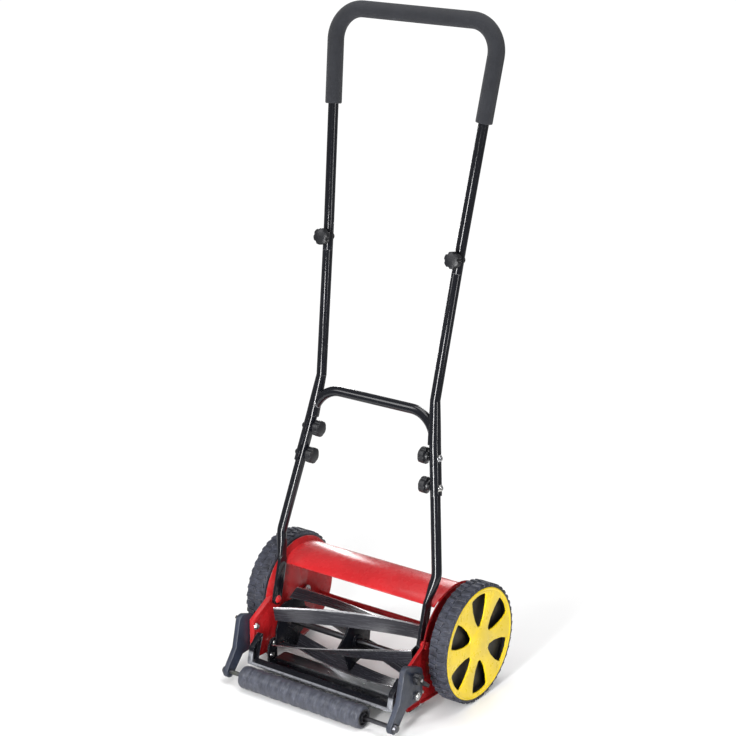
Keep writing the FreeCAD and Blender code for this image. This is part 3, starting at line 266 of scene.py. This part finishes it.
def bed_coat(name, base):
    """Black coating on the bed bar, paler and part metallic along its rear lip."""
    finish = Finish(name, Specular_IOR_Level=0.14, Coat_Weight=0.03, Coat_Roughness=0.1)
    dusty = finish.span(finish.noise(48, 6, 0.7), 0.58, 0.84, 0.0, 0.14)
    coated = finish.blend(dusty, base, (0.08, 0.075, 0.07))
    edges = finish.worn_edges(0.0010, 0.006, 0.12)
    coated = finish.blend(edges, coated, (0.40, 0.41, 0.43))
    # A paler, part-metallic band along the rear lip, broken up by noise.
    lip = finish.span(finish.reach("Y"), BED_LIP + 0.0030, BED_LIP + 0.0045, 1.0, 0.0)
    ragged = finish.maths("MULTIPLY", lip, finish.span(finish.noise(110, 5), 0.30, 0.46, 0.35, 1.0))
    finish.colour(finish.blend(ragged, coated, (0.33, 0.34, 0.37)))
    edges_and_lip = finish.maths("MAXIMUM", edges, ragged)
    finish.metallic(finish.maths("MULTIPLY", edges_and_lip, 0.6))
    finish.roughness(finish.span(finish.noise(64, 5), 0.3, 0.75, 0.20, 0.42))
    finish.bump((finish.noise(700, 3), 0.00005), (finish.noise(60, 3), 0.00008))
    return finish.material


def blade_coat(name, base):
    """Dark hardened blade, ground bright along its cutting edge, scratched round by the grass."""
    finish = Finish(name, Specular_IOR_Level=0.6)
    radius = finish.radius_from(REEL_AXIS)
    wander = finish.span(finish.noise(60, 4), 0.3, 0.7, -0.0004, 0.0004)
    ground = finish.span(finish.maths("ADD", radius, wander), BLADE_TIP - 0.0026,
                         BLADE_TIP - 0.0019)
    lines = finish.noise(60, 5, 0.6, finish.along_and_out(REEL_AXIS, 0.4, 9.0))
    dark = finish.blend(finish.span(lines, 0.35, 0.72), shade(base, 0.85), shade(base, 1.25))
    clippings = finish.span(finish.noise(70, 6, 0.75), 0.62, 0.80, 0.0, 0.35)
    dark = finish.blend(clippings, dark, (0.040, 0.050, 0.022))
    edges = finish.worn_edges(0.0007, 0.006, 0.12)
    dark = finish.blend(edges, dark, (0.30, 0.30, 0.32))
    finish.colour(finish.blend(ground, dark, (0.78, 0.78, 0.81)))
    finish.metallic(finish.span(finish.maths("MAXIMUM", ground, edges), 0.0, 1.0, 0.15, 1.0))
    finish.roughness(finish.span(lines, 0.25, 0.75, 0.17, 0.34))
    finish.bump((lines, 0.00002), (finish.noise(300, 3), 0.00002))
    return finish.material


def moulded(name, base, rough=(0.30, 0.5), grain=0.00005, coat=0.0, dust=0.25):
    """Injection-moulded plastic with a fine grain, flow marks and dust in places."""
    finish = Finish(name, Coat_Weight=coat, Coat_Roughness=0.1)
    tone = finish.span(finish.noise(18, 3), 0.3, 0.7)
    body = finish.blend(tone, shade(base, 0.88), shade(base, 1.12))
    dusty = finish.span(finish.noise(42, 6, 0.7), 0.58, 0.82, 0.0, dust)
    finish.colour(finish.blend(dusty, body, (0.24, 0.21, 0.17)))
    finish.roughness(finish.span(finish.noise(80, 4), 0.25, 0.75, *rough))
    finish.bump((finish.cells(1400), grain), (finish.noise(240, 3), grain * 1.5))
    return finish.material


def tyre_rubber(name, base):
    """Dark rubber with a bluish bloom, soil between the lugs, and lug edges paled, partly as scuffs
    and partly as a painted highlight.
    """
    finish = Finish(name, Specular_IOR_Level=0.4)
    bloom = finish.span(finish.noise(110, 6, 0.7), 0.34, 0.70)
    body = finish.blend(bloom, shade(base, 0.45), shade(base, 2.1))
    speckle = finish.span(finish.noise(620, 4, 0.7), 0.60, 0.74, 0.0, 0.5)
    body = finish.blend(speckle, body, (0.17, 0.175, 0.20))
    soil = finish.span(finish.noise(90, 6, 0.75), 0.62, 0.82, 0.0, 0.4)
    body = finish.blend(soil, body, (0.15, 0.125, 0.095))
    # The lug edges are paled partly as scuffs and partly as a painted highlight.
    finish.colour(finish.blend(finish.worn_edges(0.0008, 0.006, 0.12), body, (0.20, 0.20, 0.225)))
    finish.roughness(finish.span(finish.noise(160, 4), 0.3, 0.7, 0.48, 0.80))
    finish.bump((finish.noise(700, 4), 0.00022), (finish.cells(260), 0.00015))
    return finish.material


def ground_steel(name, base, direction=(0.35, 30, 30), stain=0.35):
    """Steel ground along its length, with bright rubbed edges and faint grass stain."""
    finish = Finish(name, Metallic=1.0, Anisotropic=0.35)
    lines = finish.noise(36, 6, 0.7, finish.stretched(direction))
    body = finish.blend(finish.span(lines, 0.3, 0.7), shade(base, 0.70), shade(base, 1.35))
    stained = finish.span(finish.noise(34, 5, 0.7), 0.52, 0.75, 0.0, stain)
    body = finish.blend(stained, body, (0.10, 0.11, 0.06))
    edges = finish.worn_edges(0.0009, 0.006, 0.14)
    finish.colour(finish.blend(edges, body, (0.80, 0.81, 0.82)))
    finish.roughness(finish.span(lines, 0.25, 0.75, 0.24, 0.46))
    finish.bump((lines, 0.00008), (finish.noise(300, 3), 0.00003))
    return finish.material


def zinc_plate(name):
    """Bright zinc on fasteners: blotchy passivation, tiny scratches and a few white specks."""
    finish = Finish(name, Metallic=1.0)
    blotch = finish.span(finish.noise(210, 5, 0.6), 0.35, 0.68)
    body = finish.blend(blotch, (0.34, 0.35, 0.38), (0.62, 0.61, 0.58))
    bloom = finish.span(finish.noise(620, 4, 0.7), 0.66, 0.80, 0.0, 0.5)
    finish.colour(finish.blend(bloom, body, (0.42, 0.42, 0.41)))
    finish.roughness(finish.span(finish.noise(330, 5), 0.3, 0.75, 0.16, 0.40))
    finish.bump((finish.noise(1500, 3), 0.00003))
    return finish.material


def sintered(name):
    """Oil-filled bronze: fine pores and darker oil patches."""
    finish = Finish(name, Metallic=1.0)
    oily = finish.span(finish.noise(130, 5), 0.4, 0.66)
    finish.colour(finish.blend(oily, (0.50, 0.33, 0.14), (0.24, 0.15, 0.06)))
    finish.roughness(finish.span(oily, 0.0, 1.0, 0.42, 0.24))
    finish.bump((finish.cells(2200), 0.00006))
    return finish.material


def cast_paint(name, base):
    """Blue-black satin paint over a cast surface, rubbed to metal at its corners."""
    finish = Finish(name, Coat_Weight=0.15, Coat_Roughness=0.25)
    tone = finish.span(finish.noise(24, 5, 0.65), 0.3, 0.72)
    body = finish.blend(tone, shade(base, 0.7), shade(base, 1.7))
    dusty = finish.span(finish.noise(60, 6, 0.7), 0.60, 0.84, 0.0, 0.3)
    body = finish.blend(dusty, body, (0.22, 0.20, 0.17))
    edges = finish.worn_edges(0.0013)
    finish.colour(finish.blend(edges, body, (0.26, 0.27, 0.29)))
    finish.metallic(finish.maths("MULTIPLY", edges, 0.8))
    finish.roughness(finish.span(finish.noise(70, 4), 0.3, 0.7, 0.34, 0.58))
    finish.bump((finish.noise(420, 4), 0.00016), (finish.cells(900), 0.00006))
    return finish.material


def roller_plastic(name, base):
    """Slate plastic scuffed pale round its circumference, with painted shade darkening the grooves
    between the ribs.
    """
    finish = Finish(name, Specular_IOR_Level=0.5)
    round_scuffs = finish.noise(34, 6, 0.75, finish.stretched((10, 1.6, 1.6)))
    body = finish.blend(finish.span(round_scuffs, 0.36, 0.66), shade(base, 0.55), shade(base, 1.7))
    flecks = finish.span(finish.noise(200, 5, 0.75), 0.56, 0.74, 0.0, 0.38)
    body = finish.blend(flecks, body, (0.24, 0.25, 0.29))
    ribs = finish.span(finish.radius_from(ROLLER_AXIS), ROLLER_RADIUS - 1.5 * MM,
                       ROLLER_RADIUS - 0.3 * MM)
    # Painted shade: the grooves between the ribs are darkened to 0.18 of the base.
    body = finish.blend(ribs, shade(base, 0.18), body)
    soil = finish.span(finish.noise(75, 6, 0.75), 0.64, 0.84, 0.0, 0.25)
    finish.colour(finish.blend(soil, body, (0.20, 0.18, 0.15)))
    finish.roughness(finish.span(round_scuffs, 0.3, 0.7, 0.32, 0.52))
    finish.bump((round_scuffs, 0.00016), (finish.noise(520, 3), 0.00008))
    return finish.material


def grip_foam(name, base):
    """Closed-cell foam: small open pores in a dull skin, smoothed where hands rub it."""
    finish = Finish(name, Specular_IOR_Level=0.2, Sheen_Weight=0.12, Sheen_Roughness=0.6)
    pores = finish.span(finish.cells(520), 0.05, 0.42)
    body = finish.blend(pores, shade(base, 0.45), shade(base, 1.25))
    rubbed = finish.span(finish.noise(20, 4), 0.45, 0.75, 0.0, 0.35)
    finish.colour(finish.blend(rubbed, body, shade(base, 2.0)))
    finish.roughness(finish.span(finish.noise(90, 4), 0.3, 0.7, 0.78, 0.96))
    finish.bump((pores, 0.00035), (finish.noise(160, 5), 0.0003))
    return finish.material


def make_finishes(paint):
    black = tuple(paint.black)
    return {
        "red_paint": enamel("red_enamel", tuple(paint.red)),
        "black_paint": gloss_coat("black_gloss_coat", black),
        "bed_paint": bed_coat("scoured_black_coat", black),
        "spider_paint": enamel("black_spider_enamel", black, 0.0, 0.06),
        # Painted shade: the side plates take the red enamel darkened to 0.8, for the shade on their
        # inner faces.
        "shaded_plate_paint": enamel("shaded_plate_red_enamel", shade(tuple(paint.red), 0.80), 0.04, 0.14),
        # Painted shade: the tie bar takes the red enamel darkened to half, for the shade it sits
        # in.
        "shaded_bar_paint": enamel("shaded_red_enamel", shade(tuple(paint.red), 0.50), 0.0, 0.15),
        "yellow_plastic": moulded("yellow_gloss_plastic", tuple(paint.yellow), (0.22, 0.40),
                                  0.00002, 0.08, 0.12),
        "tyre_rubber": tyre_rubber("tread_rubber", tuple(paint.rubber)),
        "black_plastic": moulded("black_rim_plastic", (0.006, 0.006, 0.007), (0.42, 0.6)),
        "knob_plastic": moulded("knob_plastic", (0.0075, 0.008, 0.0105), (0.30, 0.50), 0.00007),
        "blade_steel": blade_coat("dark_blade_steel", (0.024, 0.024, 0.030)),
        "knife_steel": ground_steel("ground_knife_steel", (0.30, 0.31, 0.33)),
        "gear_steel": ground_steel("greased_gear_steel", (0.20, 0.20, 0.21), (20, 20, 20), 0.6),
        "zinc_steel": zinc_plate("bright_zinc"),
        "shaft_steel": ground_steel("drawn_shaft_steel", (0.10, 0.10, 0.11), (30, 2, 2), 0.5),
        "bronze": sintered("sintered_bronze"),
        "arm_iron": cast_paint("blue_black_cast", (0.012, 0.016, 0.028)),
        "roller_plastic": roller_plastic("slate_roller_plastic", (0.034, 0.037, 0.050)),
        "foam": grip_foam("closed_cell_foam", tuple(paint.foam)),
    }


# The side plates and the tie bar take darkened copies of the red enamel as painted shade.
SPECIAL_FINISH = {"bed_bar": "bed_paint", "bed_knife": "knife_steel", "reel_shaft": "shaft_steel",
                  "roller_axle": "shaft_steel", "tie_bar": "shaded_bar_paint",
                  "side_plate_left": "shaded_plate_paint", "side_plate_right": "shaded_plate_paint",
                  "reel_spider_left": "spider_paint", "reel_spider_middle": "spider_paint",
                  "reel_spider_right": "spider_paint"}
FINISHES = {}


def finish_for(node):
    """A node's own finish where it has one, and its material slot's finish elsewhere."""
    return FINISHES[SPECIAL_FINISH.get(node, SLOT_OF[node])]


# ---------------------------------------------------------------- mesh helpers

SHARP_ANGLE = math.radians(32)
CORNER_ANGLE = math.radians(40)
WELD_DISTANCE = 2e-6


def settle(mesh):
    """Smooth faces with creases only where the surface really turns a corner."""
    for face in mesh.faces:
        face.smooth = True
    for edge in mesh.edges:
        edge.smooth = len(edge.link_faces) == 2 and edge.calc_face_angle(0.0) < SHARP_ANGLE


def finished(mesh, name, node):
    """Turn a bmesh into a piece that stands for a CAD node and moves with its body."""
    settle(mesh)
    data = bpy.data.meshes.new(name)
    mesh.to_mesh(data)
    mesh.free()
    piece = bpy.data.objects.new(name, data)
    bpy.context.scene.collection.objects.link(piece)
    data.materials.append(finish_for(node))
    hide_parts(node)
    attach(piece, BODY_OF[node])


def merged_copy(node, flat):
    """A welded copy of a CAD node with its flat areas joined into single faces."""
    mesh = bmesh.new()
    mesh.from_mesh(frame["nodes"][node].data)
    bmesh.ops.remove_doubles(mesh, verts=mesh.verts, dist=WELD_DISTANCE)
    bmesh.ops.dissolve_limit(mesh, angle_limit=math.radians(flat), verts=mesh.verts,
                             edges=mesh.edges, delimit={"NORMAL"})
    return mesh


def soften(mesh, width, segments):
    """Round every edge where the surface turns a real corner."""
    edges = [edge for edge in mesh.edges
             if len(edge.link_faces) == 2 and edge.calc_face_angle(0.0) > CORNER_ANGLE]
    bmesh.ops.bevel(mesh, geom=edges, offset=width, offset_type="OFFSET", affect="EDGES",
                    segments=segments, profile=0.5, material=-1, clamp_overlap=True)


def dress(node, width, segments=2, flat=0.5):
    """Replace a CAD node by a copy with rounded edges."""
    mesh = merged_copy(node, flat)
    soften(mesh, width, segments)
    finished(mesh, node + "_finished", node)


def spin_about_x(mesh, profile, steps, y=0.0, z=0.0):
    """Turn a closed profile of (x, radius) into a ring about an axis along X."""
    points = [mesh.verts.new((x, y + radius, z)) for x, radius in profile]
    edges = [mesh.edges.new((a, b)) for a, b in zip(points, points[1:] + points[:1])]
    bmesh.ops.spin(mesh, geom=points + edges, cent=(0, y, z), axis=(1, 0, 0),
                   angle=math.tau, steps=steps, use_merge=True, use_duplicate=False)
    bmesh.ops.remove_doubles(mesh, verts=mesh.verts, dist=WELD_DISTANCE)
    bmesh.ops.recalc_face_normals(mesh, faces=mesh.faces)


# ---------------------------------------------------------------- pieces

SIDES = (("right", 1), ("left", -1))


class MOWER_OT_finishes(bpy.types.Operator):
    """Make the paints, plastics, rubbers and metals"""
    bl_idname = "mower.finishes"
    bl_label = "Finishes"

    def execute(self, context):
        FINISHES.update(make_finishes(context.scene.mower_paint))
        for name, node in frame["nodes"].items():
            node.data.materials.clear()
            node.data.materials.append(finish_for(name))
        return {"FINISHED"}


# The carcass, in millimetres: (distance from the mower's middle, radius), inner side first.
TYRE_BORE = [(181.2, 98.0), (214.9, 98.0), (215.1, 101.3), (218.2, 101.3)]
TYRE_LIP = [(218.9, 102.0), (218.9, 103.0), (217.6, 104.4)]
TYRE_TREAD_EDGES = (213.5, 186.5)
TYRE_INNER_SHOULDER = [(183.0, 103.6), (181.2, 101.5)]
TYRE_STEPS = 120
# Each row of lugs: middle and width in millimetres, offset in pitches, slant in degrees.
LUG_ROWS = ((209.0, 18.6, 0.0, 8.0), (191.2, 15.2, 0.5, -10.0))
LUG_LENGTH = 9.2
LUG_ROOT = 3.0
LUG_TAPER = (0.90, 0.80, 1.0)
LUG_EASING = 0.7
LUG_CLEARANCE = 0.05


class MOWER_OT_tyres(bpy.types.Operator):
    """Rubber tyres with two staggered rows of slanted lugs"""
    bl_idname = "mower.tyres"
    bl_label = "Tyres"

    def execute(self, context):
        shape = context.scene.mower_shape
        for side, sign in SIDES:
            mesh = bmesh.new()
            self.carcass(mesh, sign, shape)
            self.lugs(mesh, sign, shape)
            bmesh.ops.recalc_face_normals(mesh, faces=mesh.faces)
            finished(mesh, f"tyre_{side}_tread", f"tyre_{side}")
        return {"FINISHED"}

    def carcass(self, mesh, sign, shape):
        """The closed ring under the lugs, with rounded shoulders and a raised lip by the cap."""
        base = (AXLE_HEIGHT - shape.lug_height) / MM
        tread = [(x, base) for x in TYRE_TREAD_EDGES]
        profile = TYRE_BORE + TYRE_LIP + tread + TYRE_INNER_SHOULDER
        spin_about_x(mesh, [(sign * x * MM, r * MM) for x, r in profile], TYRE_STEPS, 0.0,
                     AXLE_HEIGHT)

    def lugs(self, mesh, sign, shape):
        """Blocks set at a slant across the tread, each with its crown eased."""
        pitch = math.tau / shape.lug_rows
        height = shape.lug_height + LUG_ROOT * MM
        crown_radius = AXLE_HEIGHT - LUG_CLEARANCE * MM
        for middle, width, offset, slant in LUG_ROWS:
            turn = Matrix.Rotation(math.radians(slant * sign), 4, "Z")
            lift = Matrix.Translation((0, 0, crown_radius - height / 2))
            seat = Matrix.Translation((sign * middle * MM, 0, AXLE_HEIGHT))
            for number in range(shape.lug_rows):
                swing = Matrix.Rotation(pitch * (number + offset), 4, "X")
                block = self.block(mesh, (width * MM, LUG_LENGTH * MM, height))
                bmesh.ops.transform(mesh, matrix=seat @ swing @ lift @ turn, verts=block)

    def block(self, mesh, size):
        """One lug standing at the origin, narrower at its crown."""
        block = bmesh.ops.create_cube(mesh, size=1.0)["verts"]
        bmesh.ops.scale(mesh, vec=size, verts=block)
        top = [vert for vert in block if vert.co.z > 0]
        bmesh.ops.scale(mesh, vec=LUG_TAPER, verts=top)
        edges = {edge for vert in top for edge in vert.link_edges}
        crown = [edge for edge in edges if all(vert in top for vert in edge.verts)]
        eased = bmesh.ops.bevel(mesh, geom=crown, offset=LUG_EASING * MM, affect="EDGES",
                                segments=1, profile=0.5, material=-1)
        return list({vert for vert in block if vert.is_valid} | set(eased["verts"]))


class MOWER_OT_wheels(bpy.types.Operator):
    """Yellow trim caps, black wheels with their ring gears, and bushes"""
    bl_idname = "mower.wheels"
    bl_label = "Wheels"

    def execute(self, context):
        for side, _ in SIDES:
            dress(f"wheel_cap_{side}", 0.0007, 3)
            dress(f"wheel_{side}", 0.0003, 1)
            dress(f"wheel_bush_{side}", 0.0003, 1)
            dress(f"wheel_axle_{side}", 0.0005, 2)
        dress("axle_nuts", 0.0003, 1)
        return {"FINISHED"}


class MOWER_OT_chassis(bpy.types.Operator):
    """Side plates, cover bar, tie bar, bed bar and bed knife"""
    bl_idname = "mower.chassis"
    bl_label = "Chassis"

    def execute(self, context):
        soft = context.scene.mower_shape.soft_edge
        for side, _ in SIDES:
            dress(f"side_plate_{side}", soft, 2)
            dress(f"reel_bearing_{side}", soft, 2)
        dress("cover_bar", soft, 2)
        dress("tie_bar", soft, 2)
        dress("bed_bar", soft, 2)
        dress("bed_knife", soft * 0.5, 1)
        return {"FINISHED"}


class MOWER_OT_fasteners(bpy.types.Operator):
    """Bolts, nuts, screws and circlips"""
    bl_idname = "mower.fasteners"
    bl_label = "Fasteners"

    def execute(self, context):
        for node in ("cover_screws", "tie_bar_nuts", "bed_bar_bolts", "bed_knife_screws",
                     "handle_pivot_bolts", "roller_pivot_bolts", "roller_clamp_bolts",
                     "knob_bolts", "pinion_circlips"):
            dress(node, 0.0005, 2)
        return {"FINISHED"}


class MOWER_OT_reel(bpy.types.Operator):
    """Helical blades, spiders, shaft, pinions and their keys"""
    bl_idname = "mower.reel"
    bl_label = "Reel"

    def execute(self, context):
        for number in range(1, 6):
            dress(f"reel_blade_{number}", 0.0003, 1, 0.05)
        for place in ("left", "middle", "right"):
            dress(f"reel_spider_{place}", 0.0006, 2)
        for side, _ in SIDES:
            dress(f"pinion_{side}", 0.0002, 1)
        dress("reel_shaft", 0.0005, 2)
        dress("pinion_pawls", 0.0003, 1)
        return {"FINISHED"}


ROLLER_RIBS = 12
RIB_STEPS = 10
ROLLER_STEPS = 72
GROOVE_DEPTH = 0.0022
END_FALL = 0.0040
AXLE_PLAY = 0.0003
DISH_RADIUS = 0.0130
DISH_DEPTH = 0.0040
BOSS_RADIUS = 0.0070
BOSS_REACH = 0.0020


class MOWER_OT_roller(bpy.types.Operator):
    """Grooved roller, its axle, the cast arms and the winged height knobs"""
    bl_idname = "mower.roller"
    bl_label = "Roller"

    def execute(self, context):
        self.drum()
        dress("roller_axle", 0.0005, 2)
        for side, _ in SIDES:
            dress(f"roller_arm_{side}", 0.0014, 3)
            dress(f"height_knob_{side}", 0.0012, 3)
        return {"FINISHED"}

    def drum(self):
        """Crowned ribs with a narrow groove between each pair, a dished right end and a boss."""
        low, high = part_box("roller")
        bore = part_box("roller_axle")[1].z - ROLLER_AXIS.z + AXLE_PLAY
        shoulder = ROLLER_RADIUS - END_FALL
        left, right = low.x, high.x - BOSS_REACH
        rib = (right - left) / ROLLER_RIBS
        profile = [(left, bore), (left, shoulder)]
        for number in range(ROLLER_RIBS):
            for step in range(1, RIB_STEPS):
                across = 2 * step / RIB_STEPS - 1
                fall = GROOVE_DEPTH * across ** 4
                profile.append((left + rib * (number + step / RIB_STEPS), ROLLER_RADIUS - fall))
        profile += [(right, shoulder), (right, DISH_RADIUS), (right - DISH_DEPTH, DISH_RADIUS - MM),
                    (right - DISH_DEPTH, BOSS_RADIUS + MM), (high.x, BOSS_RADIUS), (high.x, bore)]
        mesh = bmesh.new()
        spin_about_x(mesh, profile, ROLLER_STEPS, ROLLER_AXIS.y, ROLLER_AXIS.z)
        finished(mesh, "roller_drum", "roller")


class MOWER_OT_handle(bpy.types.Operator):
    """Bracket, tubes, foam grip and star knobs"""
    bl_idname = "mower.handle"
    bl_label = "Handle"

    def execute(self, context):
        dress("lower_bracket", 0.0005, 2, 0.05)
        dress("upper_handle", 0.0005, 2, 0.05)
        dress("foam_grip", 0.0025, 4, 0.05)
        for side, _ in SIDES:
            dress(f"mid_tube_{side}", 0.0004, 2, 0.05)
            for knob in ("leg_knob_a", "leg_knob_b", "lap_knob"):
                dress(f"{knob}_{side}", 0.0011, 3)
        return {"FINISHED"}


# ---------------------------------------------------------------- stage

CAMERA_PLACE = (1.93949, -2.66852, 1.63257)
CAMERA_AZIMUTH = 36.32
CAMERA_ELEVATION = 17.88
CAMERA_LENS = 98.25
CAMERA_SENSOR = 36.0


PAPER_WHITE_RADIUS = 0.65
PAPER_FADE_RADIUS = 1.20

BACKDROP_LIGHT = 0.30
BACKDROP_SEEN = 1.05
LAMP_TARGET = Vector((0, -0.05, 0.45))
# Each lamp: name, place, size, power. The two streak lamps stand low, so that their
# reflections run the length of the tubes.
LAMPS = (("key", (-1.9, -2.4, 2.6), (0.9, 2.0), 38.0),
         ("side", (3.2, -0.4, 1.8), (0.45, 2.4), 40.0),
         ("top", (0.2, 0.3, 3.4), (2.2, 2.2), 62.0),
         ("back", (-0.8, 3.0, 1.6), (0.9, 2.0), 34.0),
         ("front_streak", (0.36, -1.35, 0.45), (0.22, 1.1), 30.0),
         ("rear_streak", (-1.30, 1.60, 0.50), (0.16, 1.1), 5.0))


class MOWER_OT_stage(bpy.types.Operator):
    """Pale floor, soft lights and the camera"""
    bl_idname = "mower.stage"
    bl_label = "Stage"

    def execute(self, context):
        self.floor()
        self.world(context.scene)
        self.lights()
        self.camera(context.scene)
        return {"FINISHED"}

    def floor(self):
        """A round sheet of white paper that fades out into the white backdrop."""
        mesh = bmesh.new()
        bmesh.ops.create_circle(mesh, cap_ends=True, segments=96, radius=PAPER_FADE_RADIUS)
        data = bpy.data.meshes.new("floor")
        mesh.to_mesh(data)
        mesh.free()
        floor = bpy.data.objects.new("floor", data)
        bpy.context.scene.collection.objects.link(floor)
        paint = Finish("floor_paper", Roughness=0.9, Specular_IOR_Level=0.1)
        paint.colour(paint.blend(paint.noise(3), (0.80, 0.80, 0.80), (0.84, 0.84, 0.84)))
        distance = paint.node("ShaderNodeVectorMath", operation="LENGTH")
        paint.link(paint.place, distance.inputs[0])
        present = paint.span(distance.outputs["Value"], PAPER_WHITE_RADIUS, PAPER_FADE_RADIUS,
                             1.0, 0.0)
        paint.link(present, paint.shader.inputs["Alpha"])
        data.materials.append(paint.material)

    def world(self, scene):
        """A white backdrop that lights the object only softly."""
        world = bpy.data.worlds.new("studio")
        world.use_nodes = True
        tree = world.node_tree
        background = tree.nodes["Background"]
        background.inputs["Color"].default_value = (1.0, 1.0, 1.0, 1.0)
        seen = tree.nodes.new("ShaderNodeLightPath").outputs["Is Camera Ray"]
        strength = tree.nodes.new("ShaderNodeMapRange")
        strength.inputs["To Min"].default_value = BACKDROP_LIGHT
        strength.inputs["To Max"].default_value = BACKDROP_SEEN
        tree.links.new(seen, strength.inputs["Value"])
        tree.links.new(strength.outputs["Result"], background.inputs["Strength"])
        scene.world = world
        scene.view_settings.view_transform = "Standard"

    def lights(self):
        for name, place, (width, height), power in LAMPS:
            light = bpy.data.lights.new(name, "AREA")
            light.shape = "RECTANGLE"
            light.size = width
            light.size_y = height
            light.energy = power
            lamp = bpy.data.objects.new(name, light)
            lamp.location = place
            lamp.visible_camera = False
            aim = LAMP_TARGET - Vector(place)
            lamp.rotation_euler = aim.to_track_quat("-Z", "Y").to_euler()
            bpy.context.scene.collection.objects.link(lamp)

    def camera(self, scene):
        data = bpy.data.cameras.new("camera")
        data.lens = CAMERA_LENS
        data.sensor_width = CAMERA_SENSOR
        data.dof.use_dof = False
        camera = bpy.data.objects.new("camera", data)
        azimuth, elevation = math.radians(CAMERA_AZIMUTH), math.radians(CAMERA_ELEVATION)
        back = Vector((math.sin(azimuth) * math.cos(elevation),
                       -math.cos(azimuth) * math.cos(elevation), math.sin(elevation)))
        camera.location = CAMERA_PLACE
        camera.rotation_euler = (-back).to_track_quat("-Z", "Y").to_euler()
        scene.collection.objects.link(camera)
        scene.camera = camera


# ---------------------------------------------------------------- add-on

OPERATORS = (MOWER_OT_finishes, MOWER_OT_tyres, MOWER_OT_wheels, MOWER_OT_chassis,
             MOWER_OT_fasteners, MOWER_OT_reel, MOWER_OT_roller, MOWER_OT_handle, MOWER_OT_stage)


class MOWER_PT_panel(bpy.types.Panel):
    bl_label = "Reel Mower"
    bl_idname = "MOWER_PT_panel"
    bl_space_type = "VIEW_3D"
    bl_region_type = "UI"
    bl_category = "Reel Mower"

    def draw(self, context):
        for settings in (context.scene.mower_paint, context.scene.mower_shape):
            for name in settings.__annotations__:
                self.layout.prop(settings, name)
        for operator in OPERATORS:
            self.layout.operator(operator.bl_idname)


CLASSES = (PaintSettings, ShapeSettings, *OPERATORS, MOWER_PT_panel)


def register():
    for item in CLASSES:
        bpy.utils.register_class(item)
    bpy.types.Scene.mower_paint = PointerProperty(type=PaintSettings)
    bpy.types.Scene.mower_shape = PointerProperty(type=ShapeSettings)


def unregister():
    del bpy.types.Scene.mower_shape
    del bpy.types.Scene.mower_paint
    for item in reversed(CLASSES):
        bpy.utils.unregister_class(item)


def main():
    register()
    for operator in OPERATORS:
        group, action = operator.bl_idname.split(".")
        getattr(getattr(bpy.ops, group), action)()


if __name__ == "__main__":
    main()
